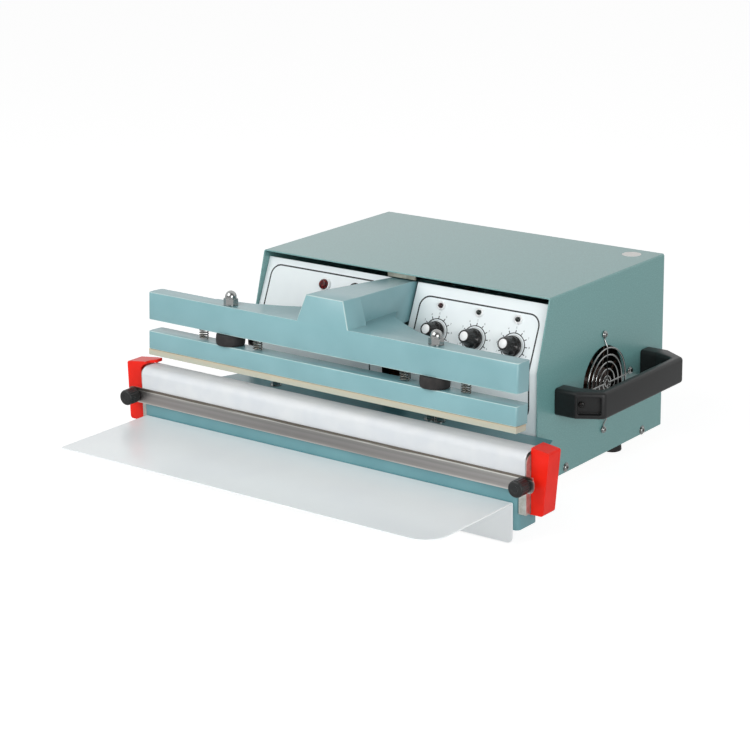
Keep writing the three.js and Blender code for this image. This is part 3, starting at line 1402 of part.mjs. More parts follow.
// Handle: two legs, raked shoulders and a straight grip, as one closed outline from above
function handleGeometry() {
  const wall = COVER_WIDTH / 2 + SEAT_GAP;
  const outer = COVER_WIDTH / 2 + HANDLE_REACH;
  const leg = COVER_WIDTH / 2 + HANDLE_LEG;
  const inner = outer - HANDLE_GRIP;
  const front = HANDLE_FRONT;
  const rear = front + HANDLE_LENGTH;
  const inset = HANDLE_SHOULDER + HANDLE_GRIP;
  const low = FOOT_HEIGHT + HANDLE_RISE;
  const legInner = leg - HANDLE_GRIP / 2;
  return plate([
    [wall, front],
    [leg, front, HANDLE_CORNER],
    [outer, front + HANDLE_SHOULDER, HANDLE_CORNER],
    [outer, rear - HANDLE_SHOULDER, HANDLE_CORNER],
    [leg, rear, HANDLE_CORNER],
    [wall, rear],
    [wall, rear - HANDLE_BASE],
    [legInner, rear - HANDLE_BASE, HANDLE_CORNER],
    [inner, rear - inset, HANDLE_CORNER],
    [inner, front + inset, HANDLE_CORNER],
    [legInner, front + HANDLE_BASE, HANDLE_CORNER],
    [wall, front + HANDLE_BASE],
  ], low, low + HANDLE_HEIGHT);
}

// The assembly
const rightTerminal = terminalGeometry(0);
const leftTerminal = terminalGeometry(LEFT_POST_SETBACK);
const rightCap = endCapGeometry(CAP_RIGHT_OFFSET, CAP_RIGHT_LEAN, false);
const leftCap = endCapGeometry(CAP_LEFT_OFFSET, CAP_LEFT_LEAN, true);
const sealer = new THREE.Group();
sealer.position.y = -(FRONT_MOST + REAR_MOST) / 2;

sealer.add(
  piece("base_plate", baseGeometry(), "zincSteel"),
  piece("cover", coverGeometry(), "tealPaint"),
  piece("rear_panel", rearPanelGeometry(), "tealPaint"),
  piece("front_panel_left", leftPanelGeometry(), "panelPaint"),
  piece("front_panel_right", rightPanelGeometry(), "panelPaint"),
  piece("slot_bridge", bridgeGeometry(), "zincSteel"),
  piece("power_inlet", inletGeometry(), "blackPlastic"),
  piece("foot_socket", footSocketGeometry(), "chrome"),
  piece("lower_jaw", lowerJawGeometry(), "tealPaint"),
  piece("insulating_strip", insulationGeometry(), "siliconeRubber"),
  piece("heating_element", elementGeometry(), "brushedSteel"),
  piece("jaw_cloth", clothGeometry(), "ptfeCloth"),
  piece("clamp_strip", clampStripGeometry(), "brushedSteel"),
  piece("work_shelf", shelfGeometry(), "shelfPaint"),
  piece("transformer", transformerGeometry(), "darkSteel"),
  piece("solenoid_body", solenoidGeometry(), "copper"),
  piece("solenoid_plunger", plungerGeometry(), "zincSteel"),
  piece("pivot_shaft", pivotShaftGeometry(), "zincSteel"),
  piece("return_spring", returnSpringGeometry(), "zincSteel"),
  ...pair("deck_bracket", deckBracketGeometry(), "zincSteel"),
  ...pair("pivot_bracket", pivotBracketGeometry(), "zincSteel"),
  ...pair("terminal", rightTerminal, "zincSteel", leftTerminal),
  ...pair("end_cap", rightCap, "redPlastic", leftCap),
  ...pair("strip_knob", stripKnobGeometry(), "blackPlastic"),
  ...pair("handle", handleGeometry(), "blackPlastic"),
);

const footX = COVER_WIDTH / 2 - FOOT_INSET;
[["front", -FRONT_FOOT_REACH], ["rear", COVER_DEPTH - REAR_FOOT_INSET]].forEach(([row, y]) => {
  [["left", -footX], ["right", footX]].forEach(([side, x]) => {
    const foot = piece(`foot_${row}_${side}`, footGeometry(), "blackRubber");
    foot.position.set(x, y, 0);
    sealer.add(foot);
  });
});

const slope = new THREE.Group();
slope.applyMatrix4(slopeFrame);
sealer.add(slope);

function onSlope(mesh, across, rise) {
  mesh.position.set(across, rise, 0);
  slope.add(mesh);
}

onSlope(piece("timer_board", timerBoardGeometry(), "greenBoard"), 0, 0);
onSlope(piece("pilot_bezel", pilotBezelGeometry(), "whitePlastic"), -PANEL_MIDDLE, LAMP_RISE);
onSlope(piece("pilot_lens", pilotLensGeometry(), "redLens"), -PANEL_MIDDLE, LAMP_RISE);
const buttonX = BUTTON_OFFSET - PANEL_MIDDLE;
onSlope(piece("switch_body", switchBodyGeometry(), "whitePlastic"), buttonX, LAMP_RISE);
onSlope(piece("push_button", pushButtonGeometry(), "blackPlastic"), buttonX, LAMP_RISE);
["left", "middle", "right"].forEach((place, i) => {
  const x = PANEL_MIDDLE + (i - 1) * DIAL_PITCH;
  onSlope(piece(`timer_knob_${place}`, timerKnobGeometry(), "blackPlastic"), x, DIAL_RISE);
  onSlope(piece(`led_${place}`, ledGeometry(), "redLens"), x, LAMP_RISE);
});

const wall = new THREE.Group();
wall.applyMatrix4(wallFrame);
wall.add(
  piece("fan_frame", fanFrameGeometry(), "blackPlastic"),
  piece("fan_rotor", fanRotorGeometry(), "blackPlastic"),
  piece("fan_guard", fanGuardGeometry(), "chrome"),
);
sealer.add(wall);

// The arm's group turns about the pivot, and its pieces are placed from the housing's origin
const arm = new THREE.Group();
arm.position.set(0, PIVOT_DEPTH, PIVOT_Z);
arm.rotation.x = -OPEN_ANGLE;
sealer.add(arm);

function onArm(mesh, x = 0, y = 0) {
  mesh.position.set(x, y - PIVOT_DEPTH, -PIVOT_Z);
  arm.add(mesh);
}

onArm(piece("upper_arm", armGeometry(), "tealPaint"));
onArm(piece("press_bar", pressBarGeometry(), "tealPaint"));
onArm(piece("silicone_strip", siliconeGeometry(), "siliconeRubber"));
STUD_PLACES.forEach(([side, x]) => {
  onArm(piece(`stud_${side}`, studGeometry(), "chrome"), x, BAR_MIDDLE);
  onArm(piece(`bush_${side}`, bushGeometry(), "blackRubber"), x, BAR_MIDDLE);
  [["outer", 1], ["inner", -1]].forEach(([place, away]) => {
    const spring = coil(
      SPRING_RADIUS,
      SPRING_WIRE,
      SPRING_CURLS,
      PRESS_BAR_TOP + SEAT_GAP,
      BAR_BOTTOM - SEAT_GAP,
    );
    const offset = away * Math.sign(x) * SPRING_OFFSET;
    onArm(piece(`press_spring_${side}_${place}`, spring, "zincSteel"), x + offset, BAR_MIDDLE);
  });
});

export default sealer;
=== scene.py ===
"""Looks of a magnet-driven bag sealer head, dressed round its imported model.

Metres, +X along the jaws to the fan's side, +Y to the rear of the housing, +Z up, jaws open.
"""
import json
import math
from itertools import pairwise

import bmesh
import bpy
from mathutils import Matrix, Vector, noise


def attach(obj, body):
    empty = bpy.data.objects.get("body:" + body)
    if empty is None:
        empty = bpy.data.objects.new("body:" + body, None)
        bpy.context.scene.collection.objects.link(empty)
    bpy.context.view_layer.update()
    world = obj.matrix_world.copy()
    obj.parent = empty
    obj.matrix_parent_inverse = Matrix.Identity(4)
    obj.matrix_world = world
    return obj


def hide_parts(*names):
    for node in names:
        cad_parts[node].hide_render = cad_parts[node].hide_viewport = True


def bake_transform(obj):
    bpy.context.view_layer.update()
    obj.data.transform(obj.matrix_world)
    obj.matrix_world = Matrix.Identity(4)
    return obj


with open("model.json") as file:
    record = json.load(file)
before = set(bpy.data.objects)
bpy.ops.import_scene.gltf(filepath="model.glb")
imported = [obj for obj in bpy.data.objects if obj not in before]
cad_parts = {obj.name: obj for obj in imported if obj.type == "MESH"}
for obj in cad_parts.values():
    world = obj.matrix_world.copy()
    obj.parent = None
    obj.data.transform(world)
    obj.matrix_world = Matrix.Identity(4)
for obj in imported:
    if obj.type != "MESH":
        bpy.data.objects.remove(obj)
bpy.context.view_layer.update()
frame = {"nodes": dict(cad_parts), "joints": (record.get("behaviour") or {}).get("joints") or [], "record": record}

MM = 0.001
JOINTS = {joint["name"]: joint for joint in frame["joints"]}
BODY_OF = {
    node: body
    for body, nodes in frame["record"]["behaviour"]["bodies"].items()
    for node in nodes
}

# Fineness
ROUND = 72
WIRE_SIDES = 12
CORNER_STEPS = 8
FOLD_STEPS = 6
WELD = 0.002 * MM
NEAR = 0.05 * MM
FLAT = math.radians(0.5)
SHARP = math.radians(32)
ALIGNED = 0.999
PRINT = 0.1 * MM
SEAT = 0.3 * MM

X_AXIS = Vector((1, 0, 0))
Y_AXIS = Vector((0, 1, 0))
Z_AXIS = Vector((0, 0, 1))
SIDES = (("left", -1), ("right", 1))


# Places that the model gives
def axes(across, up, outward, origin):
    """A place with its own axes: across, up and outward."""
    place = Matrix((across, up, outward)).transposed().to_4x4()
    place.translation = origin
    return place


def span(node, place=Matrix.Identity(4)):
    """Lowest and highest corner of a node's points, in the axes of a place."""
    inward = place.inverted()
    points = [inward @ point.co for point in frame["nodes"][node].data.vertices]
    low = Vector([min(values) for values in zip(*points)])
    high = Vector([max(values) for values in zip(*points)])
    return low, high


def middle(node, place=Matrix.Identity(4)):
    low, high = span(node, place)
    return (low + high) / 2


def seated(node, place, height=0.0):
    """A place over a node's middle, at a height in that place's axes."""
    centre = middle(node, place)
    return place @ Matrix.Translation((centre.x, centre.y, height))


def facing_back(origin):
    """A place on the housing's rear, seen from behind."""
    return axes(-X_AXIS, Z_AXIS, Y_AXIS, origin)


PIVOT = Matrix.Translation(JOINTS["arm_pivot"]["pos_m"])
FLOAT_AXIS = Vector(JOINTS["press_bar_float"]["axis"])
OPEN_ANGLE = math.atan2(FLOAT_AXIS.y, FLOAT_AXIS.z)
# The arm's own axes, in which its faces lie level
ARM = PIVOT @ Matrix.Rotation(-OPEN_ANGLE, 4, "X") @ PIVOT.inverted()

# The front panels' slope, counted up from the bend
DIAL_RISE = 21 * MM
PANEL_OUT = Vector(JOINTS["dial_middle_turn"]["axis"])
PANEL_UP = PANEL_OUT.cross(X_AXIS)
BEND = Vector(JOINTS["dial_middle_turn"]["pos_m"]) - PANEL_UP * DIAL_RISE
BEND.x = 0
SLOPE = axes(X_AXIS, PANEL_UP, PANEL_OUT, BEND)

# The right wall, about the fan's axis
FAN_CENTRE = Vector(JOINTS["fan_spin"]["pos_m"])
WALL = axes(Y_AXIS, Z_AXIS, X_AXIS, Vector((span("cover")[1].x, FAN_CENTRE.y, FAN_CENTRE.z)))
FAN_OPENING = 38.05 * MM


# Camera at the photograph's view
def make_camera():
    place = Vector((1.3054, -1.71105, 0.7560))
    azimuth = math.radians(37.70)
    elevation = math.radians(16.99)
    roll = math.radians(-0.95)
    camera = bpy.data.objects.new("camera", bpy.data.cameras.new("camera"))
    camera.data.sensor_width = 36
    camera.data.lens = 105.9
    camera.data.clip_start = 0.05
    camera.data.clip_end = 30
    turn = Matrix.Rotation(azimuth, 4, "Z") @ Matrix.Rotation(math.pi / 2 - elevation, 4, "X")
    camera.matrix_world = Matrix.Translation(place) @ turn @ Matrix.Rotation(roll, 4, "Z")
    bpy.context.scene.collection.objects.link(camera)
    bpy.context.scene.camera = camera


# Solids
def polar(radius, angle, *height):
    """A point at an angle about Z, with its height where one is given."""
    return (radius * math.cos(angle), radius * math.sin(angle), *height)


def even(start, end, parts):
    """Numbers from start to end at even steps."""
    return [start + (end - start) * part / parts for part in range(parts + 1)]


def skinned(rings, closed=False):
    """A solid over rings of points. It closes on itself, or by a face or a single point at each end."""
    solid = bmesh.new()
    made = [[solid.verts.new(point) for point in ring] for ring in rings]
    for first, second in pairwise([*made, made[0]] if closed else made):
        count = max(len(first), len(second))
        for step in range(count if count > 1 else 0):
            corners = [
                first[step % len(first)],
                first[(step + 1) % len(first)],
                second[(step + 1) % len(second)],
                second[step % len(second)],
            ]
            solid.faces.new(list(dict.fromkeys(corners)))
    for end in () if closed else (made[0], made[-1]):
        if len(end) > 1:
            solid.faces.new(end)
    bmesh.ops.recalc_face_normals(solid, faces=solid.faces)
    return solid


def turned(profile, steps=ROUND, reach=None, closed=False):
    """A profile of (radius, height) turned about Z. It starts and ends on the axis, or is closed."""
    def ring(radius, height):
        if radius == 0:
            return [(0, 0, height)]
        spokes = even(0, math.tau, steps)[:-1]
        return [polar(reach(spoke, radius, height) if reach else radius, spoke, height) for spoke in spokes]

    return skinned([ring(*point) for point in profile], closed)


def disc(radius, low, high, steps=ROUND):
    """A plain round bar or washer between two heights."""
    return turned([(0, low), (radius, low), (radius, high), (0, high)], steps)


def quarter(radius, top, inward, drop, steps):
    """Points of a rounded rim from its side up to its top, without the two ends."""
    turns = even(0, math.pi / 2, steps)[1:-1]
    return [(radius - inward * (1 - math.cos(turn)), top - drop * (1 - math.sin(turn))) for turn in turns]


def rounded(corners):
    """Corners given as (a, b) or (a, b, radius), with each radius drawn as an arc."""
    points = []
    for index, (a, b, *radius) in enumerate(corners):
        corner = Vector((a, b))
        if not radius or radius[0] == 0:
            points.append(corner)
            continue
        back = (Vector(corners[index - 1][:2]) - corner).normalized()
        ahead = (Vector(corners[(index + 1) % len(corners)][:2]) - corner).normalized()
        half = math.acos(max(-1, min(1, back.dot(ahead)))) / 2
        centre = corner + (back + ahead).normalized() * radius[0] / math.sin(half)
        start = corner + back * radius[0] / math.tan(half) - centre
        end = corner + ahead * radius[0] / math.tan(half) - centre
        sweep = math.atan2(start.cross(end), start.dot(end))
        points += [centre + Matrix.Rotation(turn, 2) @ start for turn in even(0, sweep, CORNER_STEPS)]
    return points


def rectangle(width, height, radius=0, centre=(0, 0)):
    """Corners of a rectangle about its centre."""
    a, b = centre
    half_width, half_height = width / 2, height / 2
    return [
        (a - half_width, b - half_height, radius),
        (a + half_width, b - half_height, radius),
        (a + half_width, b + half_height, radius),
        (a - half_width, b + half_height, radius),
    ]


def extruded(corners, low, high):
    """A plate of rounded corners between two heights."""
    outline = rounded(corners)
    return skinned([[(*point, height) for point in outline] for height in (low, high)])


def tube(points, radius, closed=False):
    """Round wire along a list of points."""
    count = len(points)
    rings = []
    side = None
    for index, point in enumerate(points):
        before = points[index - 1] if closed or index else point
        after = points[(index + 1) % count] if closed or index < count - 1 else point
        along = (after - before).normalized()
        side = side or along.orthogonal()
        side = (side - along * side.dot(along)).normalized()
        up = along.cross(side)
        turns = even(0, math.tau, WIRE_SIDES)[:-1]
        rings.append([point + (side * math.cos(turn) + up * math.sin(turn)) * radius for turn in turns])
    return skinned(rings, closed)


def circle(radius, height, steps=ROUND):
    return [Vector(polar(radius, turn, height)) for turn in even(0, math.tau, steps)[:-1]]


def moved(solid, place):
    bmesh.ops.transform(solid, matrix=place, verts=solid.verts)
    return solid


def merged(*solids):
    """Several solids as one bmesh, each still closed by itself."""
    whole = bmesh.new()
    for solid in solids:
        carrier = bpy.data.meshes.new("carrier")
        solid.to_mesh(carrier)
        solid.free()
        whole.from_mesh(carrier)
        bpy.data.meshes.remove(carrier)
    return whole


def placed_in_scene(name, solid):
    mesh = bpy.data.meshes.new(name)
    solid.to_mesh(mesh)
    solid.free()
    made = bpy.data.objects.new(name, mesh)
    bpy.context.scene.collection.objects.link(made)
    return made


def solid_of(made):
    """An object's shape with its modifiers."""
    shown = made.evaluated_get(bpy.context.evaluated_depsgraph_get())
    solid = bmesh.new()
    solid.from_mesh(shown.to_mesh())
    shown.to_mesh_clear()
    return solid


def cut(body, *tools):
    """A solid less its tools."""
    base = placed_in_scene("base", body)
    cutters = [placed_in_scene("cutter", tool) for tool in tools]
    for cutter in cutters:
        less = base.modifiers.new("less", "BOOLEAN")
        less.operation = "DIFFERENCE"
        less.solver = "EXACT"
        less.object = cutter
    result = solid_of(base)
    for used in [base, *cutters]:
        mesh = used.data
        bpy.data.objects.remove(used)
        bpy.data.meshes.remove(mesh)
    return result


def copy_of(node):
    """A node's solid with its flat faces made whole."""
    solid = bmesh.new()
    solid.from_mesh(frame["nodes"][node].data)
    bmesh.ops.remove_doubles(solid, verts=solid.verts, dist=WELD)
    bmesh.ops.dissolve_limit(solid, angle_limit=FLAT, verts=solid.verts, edges=solid.edges)
    return solid


def near(value, level):
    return abs(value - level) < NEAR


def runs_along(edge, axis):
    first, second = (point.co for point in edge.verts)
    return abs((second - first).normalized().dot(axis)) > ALIGNED


def bevelled(solid, edges, width, steps, **more):
    bmesh.ops.bevel(
        solid, geom=edges, offset=width, offset_type="OFFSET", segments=steps, profile=0.5,
        affect="EDGES", clamp_overlap=True, **more,
    )
    return solid


def bend(solid, radius, axis, chosen):
    """Rounds the edges along an axis whose two ends pass a test, as a fold in sheet is."""
    edges = [
        edge
        for edge in solid.edges
        if runs_along(edge, axis) and all(chosen(point.co) for point in edge.verts)
    ]
    return bevelled(solid, edges, radius, FOLD_STEPS)


def fold(node, axis, radius, sheet, reach, edge, top):
    """A node's sheet with a top fold rounded along its outer and its inner corner."""
    solid = copy_of(node)
    for inset in (0, sheet):
        bend(
            solid, radius - inset, axis,
            lambda point: near(reach(point), edge - inset) and near(point.z, top - inset),
        )
    return solid


def piece(name, solid, finish, like, at=None, edge=0.0, steps=3, rides=True):
    """Makes a solid a piece that wears its finish and moves with a node's body."""
    if at is not None:
        moved(solid, at)
    for face in solid.faces:
        face.smooth = True
    for line in solid.edges:
        line.smooth = len(line.link_faces) == 2 and line.calc_face_angle() < SHARP
    made = placed_in_scene(name, solid)
    made.data.materials.append(FINISH[finish])
    if edge:
        soft = made.modifiers.new("soft_edges", "BEVEL")
        soft.width = edge
        soft.segments = steps
        soft.limit_method = "ANGLE"
        soft.angle_limit = SHARP
        soft.harden_normals = True
    if rides:
        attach(made, BODY_OF[like])
    return made


def stand_in(name, solid, finish, node, **rest):
    """A piece that takes a node's place."""
    made = piece(name, solid, finish, node, **rest)
    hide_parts(node)
    return made


def dressed(node, name, finish, edge, steps=3):
    """A node's own shape with its edges softened and its finish on."""
    stand_in(name, copy_of(node), finish, node, edge=edge, steps=steps)


def cast(node, name, width, rear):
    """A casting of the arm whose sharp edges in front of a depth take a paler enamel: worn paint and a painted
    highlight.
    """
    solid = copy_of(node)
    inward = ARM.inverted()
    edges = [
        edge
        for edge in solid.edges
        if len(edge.link_faces) == 2
        and edge.calc_face_angle() > SHARP
        and all((inward @ point.co).y < rear for point in edge.verts)
    ]
    made = stand_in(name, bevelled(solid, edges, width, 2, material=1), "casting", node)
    made.data.materials.append(FINISH["casting_edge"])


# Finishes
def linear(colour):
    """An sRGB hex colour as linear light."""
    channels = [int(colour[place : place + 2], 16) / 255 for place in (1, 3, 5)]
    return [
        *(c / 12.92 if c <= 0.04045 else ((c + 0.055) / 1.055) ** 2.4 for c in channels),
        1,
    ]


def add(tree, kind, settings=None, stops=(), **links):
    """Adds a node with its settings and ramp stops, and sets or links its inputs."""
    node = tree.nodes.new(f"ShaderNode{kind}")
    for name, value in (settings or {}).items():
        setattr(node, name, value)
    for index, (position, colour) in enumerate(stops):
        elements = node.color_ramp.elements
        element = elements[index] if index < 2 else elements.new(position)
        element.position = position
        element.color = linear(colour)
    for name, value in links.items():
        socket = node.inputs[int(name[1:])] if name[1:].isdigit() else node.inputs[name.replace("_", " ")]
        if isinstance(value, bpy.types.NodeSocket):
            tree.links.new(value, socket)
        else:
            socket.default_value = value
    return node


def object_place(tree):
    return add(tree, "TexCoord").outputs["Object"]


def ranged(tree, value, start, end, low=0.0, high=1.0, **settings):
    """Where a value lies between a start and an end, as a number from low to high."""
    links = {"Value": value, "From_Min": start, "From_Max": end, "To_Min": low, "To_Max": high}
    return add(tree, "MapRange", settings, **links).outputs["Result"]


def maths(tree, operation, *values):
    inputs = {f"i{index}": value for index, value in enumerate(values)}
    return add(tree, "Math", {"operation": operation}, **inputs).outputs[0]


def dot(tree, first, second):
    return add(tree, "VectorMath", {"operation": "DOT_PRODUCT"}, i0=first, i1=second).outputs["Value"]


def finish_of(name, colour, roughness, metallic=0.0, **sockets):
    """A new material of one colour, with its node tree and shader."""
    material = bpy.data.materials.new(name)
    material.use_nodes = True
    tree = material.node_tree
    shader = tree.nodes["Principled BSDF"]
    shader.inputs["Base Color"].default_value = linear(colour)
    shader.inputs["Roughness"].default_value = roughness
    shader.inputs["Metallic"].default_value = metallic
    for socket, value in sockets.items():
        shader.inputs[socket.replace("_", " ")].default_value = value
    return material, tree, shader


def spots(tree, size, detail=2, stretch=(1, 1, 1)):
    """Noise in the piece's own axes whose marks are about one size, longer along a stretched axis."""
    scaled = add(tree, "VectorMath", {"operation": "DIVIDE"}, i0=object_place(tree), i1=stretch)
    return add(tree, "TexNoise", Vector=scaled.outputs[0], Scale=1 / size, Detail=detail).outputs["Fac"]


def relief(tree, shader, height, depth, under=None):
    """Bumps of a real depth on the shader's surface, over any that are there already."""
    bump = add(tree, "Bump", Height=height, Distance=depth)
    if under is not None:
        tree.links.new(under, bump.inputs["Normal"])
    tree.links.new(bump.outputs["Normal"], shader.inputs["Normal"])
    return bump.outputs["Normal"]


def tinted(tree, shader, share, stops):
    """Colours the shader by a share, through a ramp of hex colours."""
    colour = add(tree, "ValToRGB", stops=stops, Fac=share).outputs["Color"]
    tree.links.new(colour, shader.inputs["Base Color"])
    return colour


def roughened(tree, shader, share, smooth, rough):
    tree.links.new(ranged(tree, share, 0, 1, smooth, rough), shader.inputs["Roughness"])


def worn_edges(tree, shader, colour, pale, radius):
    """Paint draws thin over sharp edges, so they catch the light a little paler."""
    flat, sharp, strength = 0.98, 0.75, 0.55
    rounded_off = add(tree, "Bevel", {"samples": 6}, Radius=radius).outputs["Normal"]
    alike = dot(tree, rounded_off, add(tree, "NewGeometry").outputs["Normal"])
    share = ranged(tree, alike, flat, sharp, 0, strength)
    mix = add(tree, "Mix", {"data_type": "RGBA"}, i0=share, i6=colour, i7=linear(pale))
    tree.links.new(mix.outputs[2], shader.inputs["Base Color"])


def mottled(name, colour, roughness, metallic=0.0, *, grain, drift=None, bumps=None, tones=(), rough=None,
            depth=0.0, worn=None, **sockets):
    """A finish of one grain. Its tones may drift by a slower noise, and its bumps have their own."""
    material, tree, shader = finish_of(name, colour, roughness, metallic, **sockets)
    marks = spots(tree, *grain)
    if tones:
        toned = tinted(tree, shader, spots(tree, *drift) if drift else marks, tones)
    if rough:
        roughened(tree, shader, marks, *rough)
    if depth:
        relief(tree, shader, spots(tree, *bumps) if bumps else marks, depth)
    if worn:
        worn_edges(tree, shader, toned, *worn)
    return material


def housing_enamel():
    # Stoved hammer enamel on folded steel: satin under a clear skin, with a fine pebble grain
    return mottled(
        "hammer_enamel", "#6c9d9c", 0.42, Coat_Weight=0.7, Coat_Roughness=0.28, grain=(1.3 * MM, 3),
        tones=[(0.36, "#659694"), (0.52, "#6c9d9c"), (0.68, "#77a8a6")], rough=(0.36, 0.5),
        depth=0.08 * MM, worn=("#93b8b6", 0.7 * MM),
    )


def casting_enamel(name, deep, colour, pale, worn):
    # Sprayed enamel on fettled aluminium castings: smoother than the sheet, faintly orange-peeled
    return mottled(
        name, colour, 0.4, Coat_Weight=0.6, Coat_Roughness=0.24, grain=(3.5 * MM,), drift=(45 * MM,),
        tones=[(0.3, deep), (0.7, pale)], rough=(0.34, 0.46), depth=0.06 * MM, worn=(worn, 1.0 * MM),
    )


def panel_coat():
    # Screen-printed satin film on steel: pale, even, with only a soft sheen
    tones = [(0.35, "#e6edef"), (0.65, "#eaf1f2")]
    return mottled(
        "panel_coat", "#e8eff1", 0.38, grain=(30 * MM,), tones=tones, bumps=(1.6 * MM,), depth=0.02 * MM,
    )


def shelf_coat():
    # Powder coat on a steel shelf: glossy white with a slow orange peel
    return mottled(
        "powder_coat", "#f5f9fb", 0.3, Coat_Weight=0.25, Coat_Roughness=0.16, grain=(5 * MM,),
        drift=(60 * MM,), tones=[(0.35, "#f3f7f9"), (0.65, "#f6fafb")], rough=(0.26, 0.36), depth=0.03 * MM,
    )


def zinc_plate():
    # Zinc-plated steel with a dull passivated bloom
    return mottled(
        "zinc_plate", "#b2b0a4", 0.38, 0.9, grain=(7 * MM, 4), bumps=(0.6 * MM,),
        tones=[(0.35, "#a09d90"), (0.65, "#c1bfb2")], rough=(0.28, 0.5), depth=0.02 * MM,
    )


def brushed_stainless():
    # Stainless strip linished along its length: long hairlines, drawn coarse enough to show
    return mottled(
        "brushed_stainless", "#a5a29f", 0.36, 1.0, grain=(0.6 * MM, 4, (90, 1, 1)),
        tones=[(0.3, "#98958f"), (0.7, "#aeaaa6")], rough=(0.3, 0.46), depth=0.02 * MM,
    )


def strip_stainless():
    # The clamp strip's stainless, with painted light: darker in the middle and lighter towards the ends as a
    # painted reflection, a painted shadow line along its upper edge under a painted highlight, and a painted
    # highlight along its lower edge
    material, tree, shader = finish_of("strip_stainless", "#96928f", 0.36, 1.0)
    low, high = span("clamp_strip")
    place = add(tree, "SeparateXYZ", Vector=object_place(tree))
    hairs = spots(tree, 0.8 * MM, 4, (90, 1, 1))
    hair_share = 0.22
    hairs_and_painted_edges = maths(tree, "MULTIPLY_ADD", hairs, hair_share, ranged(tree, place.outputs["Z"], low.z, high.z))
    # The stops give a painted highlight at the lower edge, and just under the top edge a painted highlight over a
    # painted shadow line where the strip meets the cloth.
    colour = tinted(tree, shader, hairs_and_painted_edges, [
        (0.1, "#cbc6c1"), (0.2, "#989390"), (0.4, "#8c8886"), (0.6, "#95918f"),
        (0.75, "#8a8785"), (0.9, "#9a9794"), (0.95, "#d6d3ce"), (1.0, "#6f6860"),
    ])
    # Lighter towards both ends than in the middle: painted reflection.
    reflection_start, end_lightening = 40 * MM, 1.32
    painted_reflection = ranged(tree, maths(tree, "ABSOLUTE", place.outputs["X"]), reflection_start, high.x, 1, end_lightening)
    reflection_lightened = add(tree, "HueSaturation", Color=colour, Value=painted_reflection)
    tree.links.new(reflection_lightened.outputs["Color"], shader.inputs["Base Color"])
    roughened(tree, shader, hairs, 0.3, 0.46)
    relief(tree, shader, hairs, 0.03 * MM)
    return material


def tinned_brass():
    # Brass terminals under a pale grey tin wash
    tones = [(0.35, "#b3b5ad"), (0.65, "#cccec9")]
    return mottled("tinned_brass", "#bfc1bc", 0.4, 0.8, grain=(4 * MM, 3), tones=tones, rough=(0.26, 0.46))


def bright_chrome():
    # Bright nickel and chrome plate: mirror-like, with the faint waviness of a small pressing
    return mottled(
        "bright_plate", "#a3a5a4", 0.09, 1.0, grain=(1.5 * MM,), rough=(0.06, 0.16), bumps=(4 * MM,),
        depth=0.03 * MM,
    )


def spring_wire():
    # Drawn and plated spring wire, fine die lines run round the curl
    tones = [(0.3, "#65625c"), (0.7, "#8f8c85")]
    return mottled("spring_wire", "#7b7871", 0.18, 1.0, grain=(0.8 * MM, 3), tones=tones, rough=(0.14, 0.28))


def glass_cloth():
    # PTFE-coated glass cloth: a plain weave of about half a millimetre, drawn at twice that to show
    material, tree, shader = finish_of("ptfe_glass_cloth", "#d9dde0", 0.42, Sheen_Weight=0.15)
    where = add(tree, "TexCoord").outputs["UV"]
    warp, weft = (
        add(tree, "TexWave", {"bands_direction": way, "wave_profile": "SIN"}, Vector=where, Scale=1.0)
        for way in ("X", "Y")
    )
    weave = maths(tree, "MULTIPLY", warp.outputs["Fac"], weft.outputs["Fac"])
    tinted(tree, shader, spots(tree, 25 * MM), [(0.35, "#d5d9dd"), (0.65, "#dcdfe1")])
    under = relief(tree, shader, weave, 0.05 * MM)
    relief(tree, shader, spots(tree, 12 * MM), 0.12 * MM, under)
    return material


def silicone_rubber():
    # Cast beige silicone: matt, finely porous, browned along the top where it touches the hot bar
    material, tree, shader = finish_of(
        "silicone_rubber", "#b6b7a4", 0.6, Subsurface_Weight=0.06, Subsurface_Scale=1.5 * MM,
    )
    low, high = span("silicone_strip", ARM)
    pivot_level = FLOAT_AXIS.dot(PIVOT.translation) - PIVOT.translation.z
    level = dot(tree, object_place(tree), FLOAT_AXIS)
    share = ranged(tree, level, pivot_level + low.z, pivot_level + high.z)
    blotch_share = 0.25
    stain = maths(tree, "MULTIPLY_ADD", spots(tree, 12 * MM, stretch=(5, 1, 1)), blotch_share, share)
    tinted(tree, shader, stain, [(0.3, "#b5b7a7"), (0.8, "#b9b6a4"), (1.0, "#bdb299")])
    relief(tree, shader, spots(tree, 1.1 * MM, 4), 0.04 * MM)
    return material


def black_rubber():
    # Moulded natural rubber: matt black-brown with a dusty bloom
    return mottled(
        "black_rubber", "#1c1919", 0.7, grain=(6 * MM, 4), tones=[(0.35, "#171414"), (0.7, "#282423")],
        bumps=(0.8 * MM,), depth=0.05 * MM,
    )


def grained_moulding():
    # Glass-filled nylon from a spark-eroded mould: black with a fine even grain and soft sheen
    return mottled(
        "grained_nylon", "#191a1a", 0.42, Specular_IOR_Level=0.4, grain=(0.7 * MM, 3),
        tones=[(0.3, "#151616"), (0.75, "#202122")], rough=(0.34, 0.48), depth=0.04 * MM,
    )


def satin_moulding(name, deep, colour, pale):
    # Dark moulded plastic from a polished tool: satin, a shade warm
    return mottled(
        name, colour, 0.28, Specular_IOR_Level=0.45, grain=(0.9 * MM, 3), tones=[(0.3, deep), (0.75, pale)],
        rough=(0.22, 0.34), depth=0.02 * MM,
    )


def red_moulding():
    # Glossy red ABS caps, thin enough to glow a little
    return mottled(
        "glossy_red_abs", "#ee2517", 0.3, Specular_IOR_Level=0.18, Subsurface_Weight=0.05,
        Subsurface_Radius=(1.0, 0.2, 0.1), Subsurface_Scale=2 * MM, grain=(14 * MM,),
        tones=[(0.35, "#e92314"), (0.7, "#f2281a")], depth=0.1 * MM,
    )


def white_moulding():
    # White ABS bezels and knob inserts
    tones = [(0.35, "#eff0f0"), (0.7, "#f5f6f6")]
    return mottled("white_abs", "#f2f3f3", 0.3, grain=(4 * MM,), tones=tones, depth=0.02 * MM)


